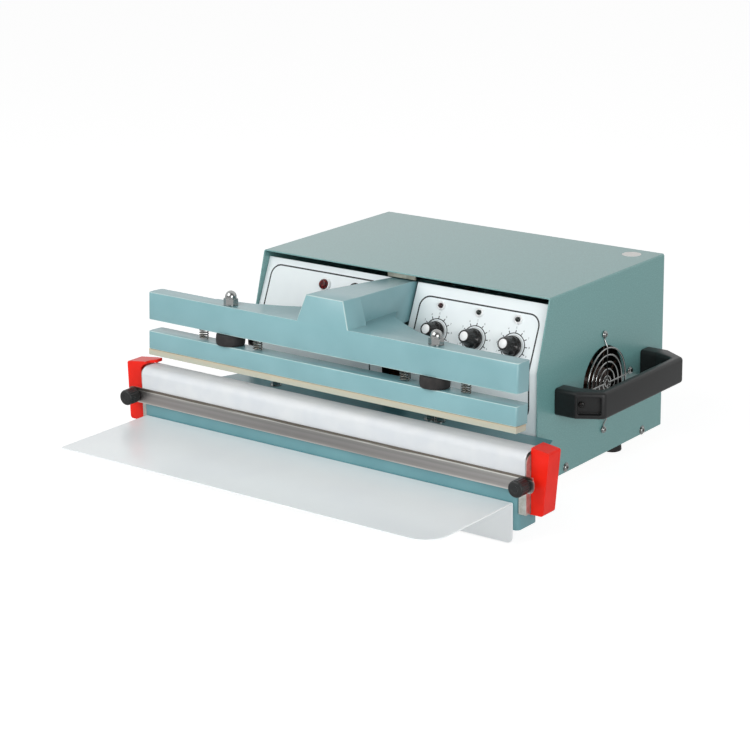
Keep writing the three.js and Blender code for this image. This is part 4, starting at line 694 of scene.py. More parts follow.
def grey_moulding():
    # Grey satin ABS seat ring under each knob
    return mottled("grey_abs", "#bcc2c3", 0.4, grain=(4 * MM,), tones=[(0.35, "#b5bbbc"), (0.7, "#c4c9ca")])


def red_lens():
    # Clear red acrylic, unlit: dark, with painted glints where the inner prisms would catch the light
    material, tree, shader = finish_of(
        "red_acrylic", "#6a0e0e", 0.12, Specular_IOR_Level=0.3, Transmission_Weight=0.1,
    )
    prism_glints = add(tree, "TexVoronoi", Scale=1 / (2.2 * MM), Vector=object_place(tree))
    # Light red spots in the colour are painted glints.
    tinted(tree, shader, prism_glints.outputs["Distance"], [(0.1, "#b32c28"), (0.35, "#640d0d"), (0.8, "#350505")])
    return material


def smoked_lens(name, dark, pale):
    # Unlit acrylic indicator lens: nearly black, with a wet highlight
    return mottled(name, dark, 0.08, grain=(1.2 * MM,), tones=[(0.4, dark), (0.75, pale)])


def circuit_board():
    # Green solder mask over copper tracks
    material, tree, shader = finish_of("solder_mask", "#2c6741", 0.35)
    tracks = add(tree, "TexBrick", Scale=1 / (9 * MM), Vector=object_place(tree))
    tinted(tree, shader, tracks.outputs["Fac"], [(0.3, "#2a6340"), (0.7, "#3c7d50")])
    return material


def laminated_iron():
    # Varnished transformer laminations, stacked in half-millimetre sheets
    return mottled(
        "varnished_laminations", "#3c3e41", 0.5, 0.4, grain=(0.8 * MM, 1, (80, 1, 80)),
        tones=[(0.35, "#2c2e30"), (0.65, "#505356")], depth=0.1 * MM,
    )


def wound_copper():
    # Enamelled copper winding in an iron frame, wires about half a millimetre thick
    return mottled(
        "enamelled_copper", "#8a4f2c", 0.35, 0.7, grain=(0.7 * MM, 1, (60, 60, 1)),
        tones=[(0.35, "#6e3b1f"), (0.65, "#a8683d")], depth=0.15 * MM,
    )


def printing_ink(name, colour):
    # Screen ink, flat and slightly matt, a tenth of a millimetre proud
    return mottled(name, colour, 0.5, grain=(0.8 * MM,), rough=(0.42, 0.58))


def seal_paper():
    # A blank round seal of coated paper
    tones = [(0.3, "#f2f0ec"), (0.7, "#fdfcf9")]
    return mottled("coated_paper", "#f8f7f3", 0.5, grain=(2 * MM, 4), tones=tones)


FINISH = {
    "housing": housing_enamel(),
    "casting": casting_enamel("casting_enamel", "#77a3a9", "#7ba7ad", "#80acb2", "#a2c6ca"),
    # Paler enamel on the castings' sharp edges: worn paint, with a painted highlight.
    "casting_edge": casting_enamel("worn_edge_enamel_painted_highlight", "#a3c1c2", "#abc8c8", "#b6d0ce", "#c3d8d5"),
    # The jaw's enamel is darker and more saturated than the arm's: the darkness is painted shade, the stronger
    # teal is its colour.
    "jaw_casting": casting_enamel("jaw_enamel_painted_shade", "#588a92", "#5c8e95", "#61939a", "#8ab4b9"),
    "panel": panel_coat(),
    "shelf": shelf_coat(),
    "zinc": zinc_plate(),
    "stainless": brushed_stainless(),
    "strip": strip_stainless(),
    "brass": tinned_brass(),
    "chrome": bright_chrome(),
    "spring": spring_wire(),
    "cloth": glass_cloth(),
    "silicone": silicone_rubber(),
    "rubber": black_rubber(),
    "nylon": grained_moulding(),
    "black": satin_moulding("satin_black_abs", "#0d0c0c", "#100f0f", "#171615"),
    "brown": satin_moulding("brown_pbt", "#33211a", "#3a261d", "#432d23"),
    "red": red_moulding(),
    "white": white_moulding(),
    "ring": grey_moulding(),
    "red_lens": red_lens(),
    "red_led": smoked_lens("dark_red_acrylic", "#1c0709", "#4a1217"),
    "grey_led": smoked_lens("smoked_acrylic", "#111614", "#28332e"),
    "board": circuit_board(),
    "iron": laminated_iron(),
    "copper": wound_copper(),
    "ink": printing_ink("black_ink", "#1d2022"),
    "grey_ink": printing_ink("grey_ink", "#83898b"),
    "paper": seal_paper(),
}


# Fasteners
def screw_head(radius, height):
    """A pan head with a cross recess, standing on z = 0."""
    side = height * 0.35
    crown = radius * 0.62
    profile = [(0, 0), (radius, 0), (radius, side)]
    profile += quarter(radius, height, radius - crown, height - side, 6)
    profile += [(crown, height), (0, height)]
    arm, reach, floor = radius * 0.13, radius * 0.55, height * 0.4
    slots = [
        extruded(rectangle(2 * across, 2 * along), floor, height * 1.5)
        for across, along in ((reach, arm), (arm, reach))
    ]
    return cut(turned(profile, 32), *slots)


def hex_head(across, height):
    """A hexagon with its top corners turned off."""
    inner = across / 2
    corner = across / math.sqrt(3)
    prism = extruded([polar(corner, math.pi * (2 * step + 1) / 6) for step in range(6)], 0, height)
    drop = height * 0.12
    beyond, above = corner * 1.4, height * 2
    shell = [(0, above), (beyond, above), (beyond, height - 3 * drop), (inner, height), (0, height)]
    return cut(prism, turned(shell, 48))


def fasten(name, place, radius, height, like, finish="chrome"):
    piece(name, screw_head(radius, height), finish, like, at=place)


# Housing
def make_cover():
    low, high = span("cover")
    solid = fold("cover", Y_AXIS, 2.0 * MM, 1.2 * MM, lambda point: abs(point.x), high.x, high.z)
    through = 10 * MM
    opening = disc(FAN_OPENING, -through, through, 96)
    stand_in("cover_sheet", cut(solid, moved(opening, WALL)), "housing", "cover", edge=0.25 * MM, steps=2)

    head, thick = 3.6 * MM, 2.2 * MM
    rows = {"front": (51.8 * MM, 5.5 * MM), "rear": (199.3 * MM, 4.2 * MM)}
    for side, sign in SIDES:
        for row, (back, rise) in rows.items():
            spot = Vector((sign * high.x, low.y + back, low.z + rise))
            place = axes(Y_AXIS * sign, Z_AXIS, X_AXIS * sign, spot)
            fasten(f"cover_screw_{row}_{side}", place, head, thick, "cover")
            washer = disc(head * 1.35, 0, 0.5 * MM, 32)
            piece(f"cover_washer_{row}_{side}", washer, "chrome", "cover", at=place)
    seal = Vector((high.x - 27 * MM, high.y - 21 * MM, high.z))
    piece("blank_seal", disc(10 * MM, 0, PRINT), "paper", "cover", at=Matrix.Translation(seal))


def make_rear_panel():
    low, high = span("rear_panel")
    dressed("rear_panel", "rear_panel_sheet", "housing", 0.2 * MM, 2)
    slot_length, slot_height, pitch, rows, column, margin = 50 * MM, 3 * MM, 9 * MM, 8, 110 * MM, 20 * MM
    first = span("cover")[1].z - margin - pitch + slot_height / 2
    hoods = [
        louvre_hood(x, high.y, first - pitch * row, slot_length)
        for row in range(rows)
        for x in (-column, column)
    ]
    piece("louvre_hoods", merged(*hoods), "housing", "rear_panel")
    inset, edge = 12 * MM, 9 * MM
    for side, sign in SIDES:
        for row, z in (("low", low.z + inset), ("high", high.z - inset)):
            place = facing_back(Vector((sign * (high.x - edge), high.y, z)))
            fasten(f"rear_screw_{row}_{side}", place, 3.4 * MM, 2 * MM, "rear_panel")


def louvre_hood(x, wall, level, length):
    """A pressed hood that springs from above a slot and hangs over it."""
    reach, drop, skin = 2.4 * MM, 4.6 * MM, 0.6 * MM
    falls = even(0, math.pi / 2, 6)
    rings = []
    for along in even(-1, 1, 16):
        swell = (1 - along ** 6) ** 0.5
        ring = []
        for depth, order in ((0, falls), (skin, reversed(falls))):
            for fall in order:
                out = (reach * math.sin(fall) - depth) * swell
                down = drop * (1 - math.cos(fall)) - depth / 2
                ring.append((x + along * length / 2, wall + max(out, 0), level - down))
        rings.append(ring)
    return skinned(rings)


def make_front_panels():
    for side, _ in SIDES:
        node = f"front_panel_{side}"
        solid = copy_of(node)
        bend(solid, 3.0 * MM, X_AXIS, lambda point: near(point.z, BEND.z) and near(point.y, BEND.y))
        stand_in(f"{node}_sheet", solid, "panel", node, edge=0.2 * MM, steps=2)


def on_panel(across, rise, out):
    """A point on the front panels, counted up from the bend and down the upright part below it."""
    if rise >= 0:
        return SLOPE @ Vector((across, rise, out))
    return Vector((across, BEND.y - out, BEND.z + rise))


def ribbon(path, width, thickness):
    """A closed printed line along a path of (across, rise) points on the panels."""
    rings = []
    for index, point in enumerate(path):
        along = (path[(index + 1) % len(path)] - path[index - 1]).normalized()
        side = Vector((-along.y, along.x)) * width / 2
        inner, outer = point - side, point + side
        corners = [(inner, 0), (outer, 0), (outer, thickness), (inner, thickness)]
        rings.append([on_panel(*spot, out) for spot, out in corners])
    return skinned(rings, closed=True)


def close_points(path, step):
    """A closed path with more points, so that it follows the panels' bend."""
    dense = []
    for first, second in pairwise([*path, path[0]]):
        parts = max(1, round((second - first).length / step))
        dense += [first.lerp(second, share) for share in even(0, 1, parts)[:-1]]
    return dense


def make_outlines():
    corner, line_width, foot = 12 * MM, 1.6 * MM, -50 * MM
    frames = {"left": (-172 * MM, -27 * MM, 60.5 * MM), "right": (25 * MM, 169 * MM, 55.5 * MM)}
    for side, (left, right, top) in frames.items():
        centre = ((left + right) / 2, (top + foot) / 2)
        path = rounded(rectangle(right - left, top - foot, corner, centre))
        solid = ribbon(close_points(path, 2 * MM), line_width, PRINT)
        piece(f"outline_{side}", solid, "ink", f"front_panel_{side}")


# Controls on the slope
def arc_band(inner, outer, start, end, steps, low, high):
    """Part of a flat ring between two angles."""
    turns = even(start, end, steps)
    outline = [polar(outer, turn) for turn in turns] + [polar(inner, turn) for turn in reversed(turns)]
    return extruded(outline, low, high)


def number(value, size, place):
    """A plain printed number as flat solid letters."""
    curve = bpy.data.curves.new("number", "FONT")
    curve.body = str(value)
    curve.size = size
    curve.align_x = "CENTER"
    curve.align_y = "CENTER"
    curve.extrude = PRINT / 2
    curve.resolution_u = 3
    text = bpy.data.objects.new("number", curve)
    bpy.context.scene.collection.objects.link(text)
    solid = solid_of(text)
    bpy.data.objects.remove(text)
    bpy.data.curves.remove(curve)
    return moved(solid, place)


def make_dial(place_name):
    knob = f"timer_knob_{place_name}"
    top = span(knob, SLOPE)[1].z
    seat = SLOPE @ Matrix.Translation((middle(knob, SLOPE).x, DIAL_RISE, 0))
    base, skirt, waist, grip = 0.8 * MM, 10.5 * MM, 9.8 * MM, 6.6 * MM
    lobes, lobe_depth, flutes, flute_depth = 6, 1.2 * MM, 24, 0.3 * MM
    shoulder, lobe_top = base + 2.4 * MM, base + 6.6 * MM
    cap, cap_seat, cap_room = 4.7 * MM, top - 0.5 * MM, 0.1 * MM

    def scalloped(angle, radius, height):
        if shoulder < height <= lobe_top:
            return radius - lobe_depth * (1 - abs(math.cos(lobes * angle / 2)))
        if height > lobe_top and radius > grip * 0.9:
            return radius - flute_depth * (0.5 + 0.5 * math.cos(flutes * angle))
        return radius

    profile = [
        (0, base), (skirt - 0.4 * MM, base), (skirt, base + 0.4 * MM), (skirt, shoulder - 0.5 * MM),
        (skirt - 0.5 * MM, shoulder), (waist + 0.3 * MM, shoulder + 0.1 * MM), (waist, lobe_top - 0.6 * MM),
        (waist - 0.6 * MM, lobe_top), (grip + 1.1 * MM, lobe_top + 2.2 * MM), (grip, top - 1.2 * MM),
        (grip - 0.3 * MM, top - 0.3 * MM), (grip - 0.9 * MM, top), (cap + cap_room, top),
        (cap + cap_room, cap_seat), (0, cap_seat),
    ]
    stand_in(f"{knob}_grip", turned(profile, 144, scalloped), "black", knob, at=seat)

    floor = cap_seat - 0.45 * MM
    button = turned([
        (0, floor), (cap, floor), (cap, floor + 0.6 * MM), (cap - 0.4 * MM, floor + 0.85 * MM),
        (0, floor + 0.95 * MM),
    ])
    piece(f"{knob}_cap", button, "white", knob, at=seat)

    hole, rim, thick = 3.6 * MM, 12 * MM, 0.6 * MM
    ring = [(hole, 0), (rim, 0), (rim, thick / 2), (rim - 0.5 * MM, thick), (hole, thick)]
    panel = "front_panel_right"
    piece(f"dial_ring_{place_name}", turned(ring, closed=True), "ring", panel, at=seat)

    arc, arc_width, tick, tick_width, number_size, number_radius = (
        size * MM for size in (13.0, 1.0, 3.6, 0.9, 3.0, 19)
    )
    start, sweep, marks = math.radians(232), math.radians(-284), 11
    lines = [arc_band(arc, arc + arc_width, start + sweep, start, 48, 0, PRINT)]
    figures = []
    for mark, angle in enumerate(even(start, start + sweep, marks - 1)):
        bar = extruded(rectangle(tick, tick_width, centre=(arc + tick / 2, 0)), 0, PRINT)
        lines.append(moved(bar, Matrix.Rotation(angle, 4, "Z")))
        spot = polar(number_radius, angle, PRINT / 2)
        figures.append(number(mark, number_size, Matrix.Translation(spot)))
    piece(f"dial_scale_{place_name}", merged(*lines), "ink", panel, at=seat)
    piece(f"dial_numbers_{place_name}", merged(*figures), "grey_ink", panel, at=seat)


def make_led(place_name):
    node = f"led_{place_name}"
    low, high = span(node, SLOPE)
    seat = seated(node, SLOPE)
    radius = 2.5 * MM
    profile = [(0, low.z), (radius, low.z), (radius, high.z - radius)]
    profile += [*quarter(radius, high.z, radius, radius, 10), (0, high.z)]
    lens = "red_led" if place_name == "left" else "grey_led"
    stand_in(f"{node}_lens", turned(profile, 40), lens, node, at=seat)

    rim, bore, tall = 4.6 * MM, radius + 0.15 * MM, 1.9 * MM
    bezel = turned([
        (bore, 0), (rim, 0), (rim, tall * 0.5), (rim - 0.3 * MM, tall * 0.85), (rim - 0.8 * MM, tall),
        (bore, tall * 0.7),
    ], 48, closed=True)
    piece(f"{node}_bezel", bezel, "white", "front_panel_right", at=seat)


def make_pilot():
    low, high = span("pilot_lens", SLOPE)
    seat = seated("pilot_lens", SLOPE)
    radius = (high.x - low.x) / 2
    facets, facet_depth, stem, stem_top, dome = 16, 0.25 * MM, 3.4 * MM, 1.7 * MM, 2.2 * MM

    def faceted(angle, spoke, height):
        if spoke < radius * 0.5 or height < 2 * MM:
            return spoke
        return spoke - facet_depth * (0.5 + 0.5 * math.cos(facets * angle))

    profile = [(0, low.z), (stem, low.z), (stem, stem_top), (radius, stem_top), (radius, high.z - dome)]
    profile += quarter(radius, high.z, radius * 0.55, dome, 9)
    dish = high.z - 0.35 * MM
    profile += [(radius * 0.42, high.z), (radius * 0.36, dish), (0, dish)]
    stand_in("pilot_lens_dome", turned(profile, 96, faceted), "red_lens", "pilot_lens", at=seat)

    low, high = span("pilot_bezel", SLOPE)
    rim, bore, foot = (high.x - low.x) / 2, radius + 0.25 * MM, 0.3 * MM
    bezel = turned([
        (bore, foot), (rim, foot), (rim, high.z - 0.7 * MM), (rim - 0.3 * MM, high.z - 0.1 * MM),
        (rim - 0.7 * MM, high.z), (bore, high.z - 0.2 * MM),
    ], closed=True)
    both = merged(bezel, disc(5.2 * MM, low.z, 0.8 * MM))
    stand_in("pilot_bezel_ring", both, "white", "pilot_bezel", at=seat)


def make_button():
    low, high = span("push_button", SLOPE)
    radius = (high.x - low.x) / 2
    stem, stem_top, edge = 2 * MM, -3.5 * MM, 0.9 * MM
    profile = [(0, low.z), (stem, low.z), (stem, stem_top), (radius, stem_top), (radius, high.z - edge)]
    profile += quarter(radius, high.z, edge, edge, 6)
    profile += [(radius - edge, high.z), (0, high.z - 0.3 * MM)]
    cap = turned(profile, 56)
    stand_in("push_button_cap", cap, "black", "push_button", at=seated("push_button", SLOPE))
    dressed("switch_body", "switch_barrel", "black", 0.3 * MM, 2)


# Jaws
def make_lower_jaw():
    # The jaw wears the darker jaw enamel, whose darkness is painted shade.
    dressed("lower_jaw", "lower_jaw_casting", "jaw_casting", 1.1 * MM)
    deck_top, washer = 66 * MM, 0.9 * MM
    bolts = [(-140, -16.5), (62, -17.5), (74, -17.5)]
    for index, (x, y) in enumerate(bolts):
        spot = Vector((x * MM, y * MM + BEND.y, deck_top))
        hexagon = moved(hex_head(8 * MM, 4.6 * MM), Matrix.Translation((0, 0, washer)))
        head = merged(disc(6.2 * MM, 0, washer, 40), hexagon)
        place = Matrix.Translation(spot)
        piece(f"deck_bolt_{index + 1}", head, "chrome", "lower_jaw", at=place, edge=0.25 * MM, steps=2)


def make_cloth():
    low, high = span("jaw_cloth")
    crown, thick, ripple, thread = 8.4 * MM, 0.3 * MM, 0.22 * MM, 1.0 * MM
    wave_along, wave_down, wave_place = 38 * MM, 16 * MM, 3.1
    face, level, inner = low.y + thick / 2, high.z - thick / 2, crown - thick / 2
    notch_side, notch_top = 236 * MM, middle("clamp_strip").z + 2.5 * MM
    notch_steps, flank_steps, crown_steps, top_steps, plain_steps, end_steps = 6, 14, 12, 10, 160, 4
    path = [(face, z) for z in even(low.z, notch_top, notch_steps)[:-1]]
    path += [(face, z) for z in even(notch_top, level - inner, flank_steps)[:-1]]
    for angle in even(math.pi, math.pi / 2, crown_steps)[:-1]:
        path.append((face + inner + inner * math.cos(angle), level - inner + inner * math.sin(angle)))
    path += [(y, level) for y in even(face + inner, high.y - thick / 2, top_steps)]
    columns = [*even(low.x, notch_side, plain_steps)[:-1], *even(notch_side, high.x, end_steps)]
    lengths = [0.0]
    for first, second in pairwise(path):
        lengths.append(lengths[-1] + math.dist(first, second))
    solid = bmesh.new()
    threads = solid.loops.layers.uv.new("threads")
    rows = []
    for index, (y, z) in enumerate(path):
        before, after = path[max(index - 1, 0)], path[min(index + 1, len(path) - 1)]
        along = Vector((after[0] - before[0], after[1] - before[1])).normalized()
        outward = Vector((0, -along.y, along.x))
        row = []
        for x in columns:
            wave = noise.noise(Vector((x / wave_along, lengths[index] / wave_down, wave_place)))
            row.append(solid.verts.new(Vector((x, y, z)) - outward * abs(wave) * ripple))
        rows.append(row)
    for index, (lower, upper) in enumerate(pairwise(rows)):
        for step in range(plain_steps if index < notch_steps else plain_steps + end_steps):
            cell = solid.faces.new((lower[step], lower[step + 1], upper[step + 1], upper[step]))
            marks = [(step, index), (step + 1, index), (step + 1, index + 1), (step, index + 1)]
            for loop, (column, line) in zip(cell.loops, marks):
                loop[threads].uv = (columns[column] / thread, lengths[line] / thread)
    bmesh.ops.delete(solid, geom=[point for point in solid.verts if not point.link_faces], context="VERTS")
    cloth = stand_in("jaw_cloth_sheet", solid, "cloth", "jaw_cloth")
    skin = cloth.modifiers.new("thickness", "SOLIDIFY")
    skin.thickness = thick
    skin.offset = 0


def make_jaw_fittings():
    dressed("insulating_strip", "insulating_band", "silicone", 0.1 * MM, 2)
    dressed("heating_element", "heating_band", "stainless", 0.08 * MM, 2)
    dressed("clamp_strip", "clamp_strip_bar", "strip", 0.35 * MM)
    for side, _ in SIDES:
        dressed(f"terminal_{side}", f"terminal_{side}_post", "brass", 0.3 * MM)
        dressed(f"end_cap_{side}", f"end_cap_{side}_moulding", "red", 0.8 * MM, 4)
        make_strip_knob(side)
    dressed("silicone_strip", "silicone_pad", "silicone", 0.5 * MM)


def make_strip_knob(side):
    node = f"strip_knob_{side}"
    place = axes(X_AXIS, Z_AXIS, -Y_AXIS, Vector(JOINTS[f"clamp_knob_{side}_turn"]["pos_m"]))
    low, high = span(node, place)
    base, top, radius = SEAT, high.z, high.x
    flutes, depth, edge = 20, 0.35 * MM, 2.4 * MM

    def fluted(angle, spoke, height):
        if spoke < radius * 0.8:
            return spoke
        fade = min(1, max(0, (top - height) / edge))
        return spoke - depth * fade * (0.5 + 0.5 * math.cos(flutes * angle)) ** 2

    profile = [
        (0, base), (radius - 1.6 * MM, base), (radius - 0.5 * MM, base + 1.2 * MM),
        (radius, base + 3 * MM), (radius, top - edge),
    ]
    dish, floor = 3.6 * MM, top - 0.6 * MM
    profile += quarter(radius, top, edge, edge, 8)
    profile += [(radius - edge, top), (dish, top - 0.15 * MM), (dish - 0.4 * MM, floor), (0, floor)]
    stand_in(f"{node}_grip", turned(profile, 120, fluted), "nylon", node, at=place)
    piece(f"{node}_screw", disc(2.1 * MM, low.z, base + MM, 32), "zinc", node, at=place)


def make_shelf():
    high = span("work_shelf")[1]
    solid = fold("work_shelf", X_AXIS, 2.4 * MM, 1.5 * MM, lambda point: point.y, high.y, high.z)
    stand_in("work_shelf_sheet", solid, "shelf", "work_shelf", edge=0.3 * MM)


# Arm
def make_arm():
    bar_rear = middle("press_bar", ARM).y
    cast("upper_arm", "upper_arm_casting", 0.8 * MM, bar_rear)
    cast("press_bar", "press_bar_casting", 0.7 * MM, bar_rear)
    for side, _ in SIDES:
        make_stud(side)
        make_bush(side)
        for where in ("inner", "outer"):
            make_press_spring(side, where)


def make_stud(side):
    """A domed nut on a washer, with the plated shaft below it."""
    node = f"stud_{side}"
    low, high = span(node, ARM)
    washer, nut, dome, straight = 0.8 * MM, 6 * MM, 5.9 * MM, 1.5 * MM
    rise = 1.3 * dome
    seat = high.z - rise - nut - washer
    place = seated(node, ARM, seat)
    hexagon = moved(hex_head(13 * MM, nut), Matrix.Translation((0, 0, washer)))
    solid = merged(disc(7.5 * MM, 0, washer, 56), hexagon)
    stand_in(f"{node}_nut", solid, "chrome", node, at=place, edge=0.2 * MM, steps=2)
    top = washer + nut + rise
    profile = [(0, washer), (dome, washer), (dome, washer + nut + straight)]
    profile += [*quarter(dome, top, dome, rise - straight, 16), (0, top)]
    piece(f"{node}_dome", turned(profile, 56), "chrome", node, at=place)
    piece(f"{node}_shaft", disc(4 * MM, low.z - seat, 0, 40), "zinc", node, at=place)


def squeezed(made, node):
    """Bakes a piece's place into its mesh; its top under the arm and its foot on the press bar are found but not
    used.
    """
    low, high = span(node, ARM)
    top, foot = (seated(node, ARM, level).translation for level in (high.z, low.z))
    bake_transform(made)
    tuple(top)
    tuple(foot)


def make_bush(side):
    node = f"bush_{side}"
    low, high = span(node, ARM)
    radius, height, bore = (high.x - low.x) / 2, high.z - low.z, 4.5 * MM
    inset, bulge_depth, fullness, steps = 1.0 * MM, 0.6 * MM, 0.6, 14
    profile = [(bore, 0), (radius - inset, 0)]
    for share in even(0, 1, steps):
        bulge = math.sin(math.pi * share) ** fullness
        profile.append((radius - bulge_depth * (1 - bulge), inset / 2 + (height - inset) * share))
    profile += [(radius - inset, height), (bore, height)]
    solid = turned(profile, closed=True)
    place = seated(node, ARM, low.z)
    squeezed(stand_in(f"{node}_rubber", solid, "rubber", node, at=place, rides=False), node)


def helix(radius, wire, curls, height):
    """Points of a coil spring whose end turns lie close, as wound and set ends do."""
    steps_each, closing = 28, 0.75
    low, high, drift = wire / 2, height - wire / 2, wire * 0.9
    points = []
    for turn in even(0, curls, round(curls * steps_each)):
        if turn < closing:
            level = low + drift * turn / closing
        elif curls - turn < closing:
            level = high - drift * (curls - turn) / closing
        else:
            level = low + drift + (high - low - 2 * drift) * (turn - closing) / (curls - 2 * closing)
        points.append(Vector(polar(radius, math.tau * turn, level)))
    return points


def make_coil(node, place, wire, radius, curls):
    """A coil spring that fills a node's height."""
    low, high = span(node, place)
    solid = tube(helix(radius, wire, curls, high.z - low.z), wire / 2)
    return stand_in(f"{node}_wire", solid, "spring", node, at=seated(node, place, low.z), rides=False)


def make_press_spring(side, where):
    node = f"press_spring_{side}_{where}"
    squeezed(make_coil(node, ARM, 1.3 * MM, 4.4 * MM, 4.5), node)


# Inside the housing
def make_works():
    dressed("base_plate", "base_plate_sheet", "zinc", 0.3 * MM, 2)
    dressed("slot_bridge", "slot_bridge_bar", "zinc", 0.4 * MM)
    for side, _ in SIDES:
        dressed(f"deck_bracket_{side}", f"deck_bracket_{side}_sheet", "zinc", 0.4 * MM, 2)
        dressed(f"pivot_bracket_{side}", f"pivot_bracket_{side}_plate", "zinc", 0.5 * MM, 2)
    dressed("pivot_shaft", "pivot_shaft_steel", "zinc", 0.5 * MM, 2)
    dressed("solenoid_body", "solenoid_winding", "copper", 0.8 * MM, 2)
    dressed("solenoid_plunger", "solenoid_core", "zinc", 0.5 * MM, 2)
    dressed("transformer", "transformer_core", "iron", 0.8 * MM, 2)
    dressed("timer_board", "timer_board_laminate", "board", 0.1 * MM, 1)
    world = Matrix.Identity(4)
    low, high = span("return_spring")
    spring = make_coil("return_spring", world, 1.6 * MM, 6 * MM, 11)
    start, end = (seated("return_spring", world, level).translation for level in (low.z, high.z))
    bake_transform(spring)
    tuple(start)
    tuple(end)


# Fan
def make_fan():
    dressed("fan_frame", "fan_frame_moulding", "black", 0.5 * MM, 2)
    low, high = span("fan_rotor", WALL)
    hub, tip, edge, skin, blades, rear_room = 15.5 * MM, 36.6 * MM, 1.2 * MM, 1.4 * MM, 7, 6 * MM
    twists = math.radians(52), math.radians(30)
    rear = low.z + rear_room
    width = (high.z - rear) * 0.8
    half_way = Matrix.Translation((0, 0, (high.z + rear) / 2))
    solids = [turned([(0, rear), (hub, rear), (hub, high.z - edge), (hub - edge, high.z), (0, high.z)])]
    for index in range(blades):
        turn = Matrix.Rotation(math.tau * index / blades, 4, "Z")
        solids.append(moved(fan_blade(hub * 0.9, tip, width, skin, *twists), turn @ half_way))
    stand_in("fan_rotor_moulding", merged(*solids), "brown", "fan_rotor", at=WALL)
    make_fan_guard()


def fan_blade(root, tip, width, skin, twist_root, twist_tip):
    """A twisted blade along X that sweeps back towards its tip."""
    sweep, camber, least = math.radians(14), 1.4 * MM, 0.02
    chord = even(-0.5, 0.5, 8)
    rings = []
    for share in even(0, 1, 10):
        radius = root + (tip - root) * share
        twist = twist_root + (twist_tip - twist_root) * share
        ring = []
        for face, order in ((1, chord), (-1, reversed(chord))):
            for along in order:
                swell = 1 - (2 * along) ** 2
                lift = camber * swell + face * skin / 2 * math.sqrt(max(least, swell))
                y = along * width * math.cos(twist) - lift * math.sin(twist)
                z = along * width * math.sin(twist) + lift * math.cos(twist)
                ring.append(polar(radius, sweep * share + y / radius, z))
        rings.append(ring)
    return skinned(rings)


def make_fan_guard():
    pitch, rings, wire, standoff = 7.24 * MM, 5, 0.9 * MM, 4 * MM
    eye_circle, eye_radius = 50.5 * MM, 3.0 * MM
    outer = pitch * rings
    shares = [0.5, *range(1, rings + 1)]
    solids = [tube(circle(pitch * share, standoff), wire, closed=True) for share in shares]
    level = SEAT + wire
    for index in range(4):
        turn = Matrix.Rotation(math.tau * index / 4, 4, "Z")
        route = [
            Vector((pitch * 0.5, 0, standoff + 0.6 * wire)),
            Vector((outer * 0.5, 0, standoff + 0.6 * wire)),
            Vector((outer, 0, standoff + 0.3 * wire)),
            Vector((outer + 3 * MM, 0, standoff - 0.2 * MM)),
            Vector((outer + 6.5 * MM, 0, level + 0.9 * MM)),
            Vector((outer + 9 * MM, 0, level)),
            Vector((eye_circle - eye_radius, 0, level)),
        ]
        solids.append(moved(tube(smooth_route(route, 6), wire * 0.9), turn))
        eye = tube(circle(eye_radius, 0, 40), wire, closed=True)
        solids.append(moved(eye, turn @ Matrix.Translation((eye_circle, 0, level))))
        spot = WALL @ turn @ Matrix.Translation((eye_circle, 0, level + wire * 0.3))
        fasten(f"fan_screw_{index + 1}", spot, 3.1 * MM, 1.9 * MM, "fan_guard")
    stand_in("fan_guard_wire", merged(*solids), "chrome", "fan_guard", at=WALL)


def smooth_route(points, parts):
    """A smooth curve through points."""
    route = []
    starts, ends = [points[0], *points], [*points[2:], points[-1]]
    for before, first, second, after in zip(starts, points, points[1:], ends):
        for t in even(0, 1, parts)[:-1]:
            route.append(0.5 * (
                2 * first
                + (second - before) * t
                + (2 * before - 5 * first + 4 * second - after) * t * t
                + (3 * first - before - 3 * second + after) * t * t * t
            ))
    return [*route, points[-1]]


# Handles
def make_handle(side, sign):
    """A moulded grip with a screw pocket in each of its two raked shoulders."""
    node = f"handle_{side}"
    low, high = span(node)
    wall = low.x if sign > 0 else high.x
    solid = copy_of(node)
    least_lean, most_lean, least_area, grip_round = 0.2, 0.95, 400 * MM * MM, 3.6 * MM
    slanted = [
        face
        for face in solid.faces
        if least_lean < face.normal.x * sign < most_lean and face.calc_area() > least_area
    ]
    side_rim, rim, depth, corner, beyond, screw_inset = 1.3 * MM, 4.6 * MM, 6 * MM, 1.5 * MM, 5 * MM, 4 * MM
    height = high.z - low.z - 2 * rim
    pockets = []
    for face in slanted:
        out = face.normal.copy()
        across = Z_AXIS.cross(out).normalized()
        centre = face.calc_center_median()
        reaches = [(point.co - centre).dot(across) for point in face.verts]
        width = max(reaches) - min(reaches) - 2 * side_rim
        centre += across * (max(reaches) + min(reaches)) / 2
        pocket = extruded(rectangle(width, height, corner), -depth, beyond)
        pockets.append(moved(pocket, axes(across, Z_AXIS, out, centre)))
        to_wall = -across if across.x * sign > 0 else across
        spot = centre - out * depth + to_wall * (width / 2 - screw_inset)
        row = "front" if out.y < 0 else "rear"
        place = axes(across, Z_AXIS, out, spot)
        # The pocket screws take the black finish: painted shade of screws deep in their pockets.
        fasten(f"handle_screw_{row}_{side}", place, 3.2 * MM, 2.2 * MM, node, "black")
    rims = [
        edge
        for edge in solid.edges
        if abs(edge.verts[0].co.z - edge.verts[1].co.z) < PRINT
        and not all(near(point.co.x, wall) for point in edge.verts)
    ]
    bevelled(solid, rims, grip_round, 5)
    stand_in(f"{node}_moulding", cut(solid, *pockets), "nylon", node, edge=0.5 * MM, steps=2)


# Feet and sockets
def make_foot(row, side):
    """A turned rubber foot with its screw hole open below."""
    node = f"foot_{row}_{side}"
    low, high = span(node)
    radius, top = (high.x - low.x) / 2, high.z
    waist, bore, roof = radius - 0.9 * MM, 3.2 * MM, 3.5 * MM
    profile = [
        (0, roof), (bore, roof), (bore, 0), (radius - 1.4 * MM, 0), (radius - 0.4 * MM, 0.5 * MM),
        (radius, 1.6 * MM), (waist, top - 1.5 * MM), (waist + 0.5 * MM, top), (0, top),
    ]
    place = seated(node, Matrix.Identity(4))
    stand_in(f"{node}_rubber", turned(profile, 56), "rubber", node, at=place)


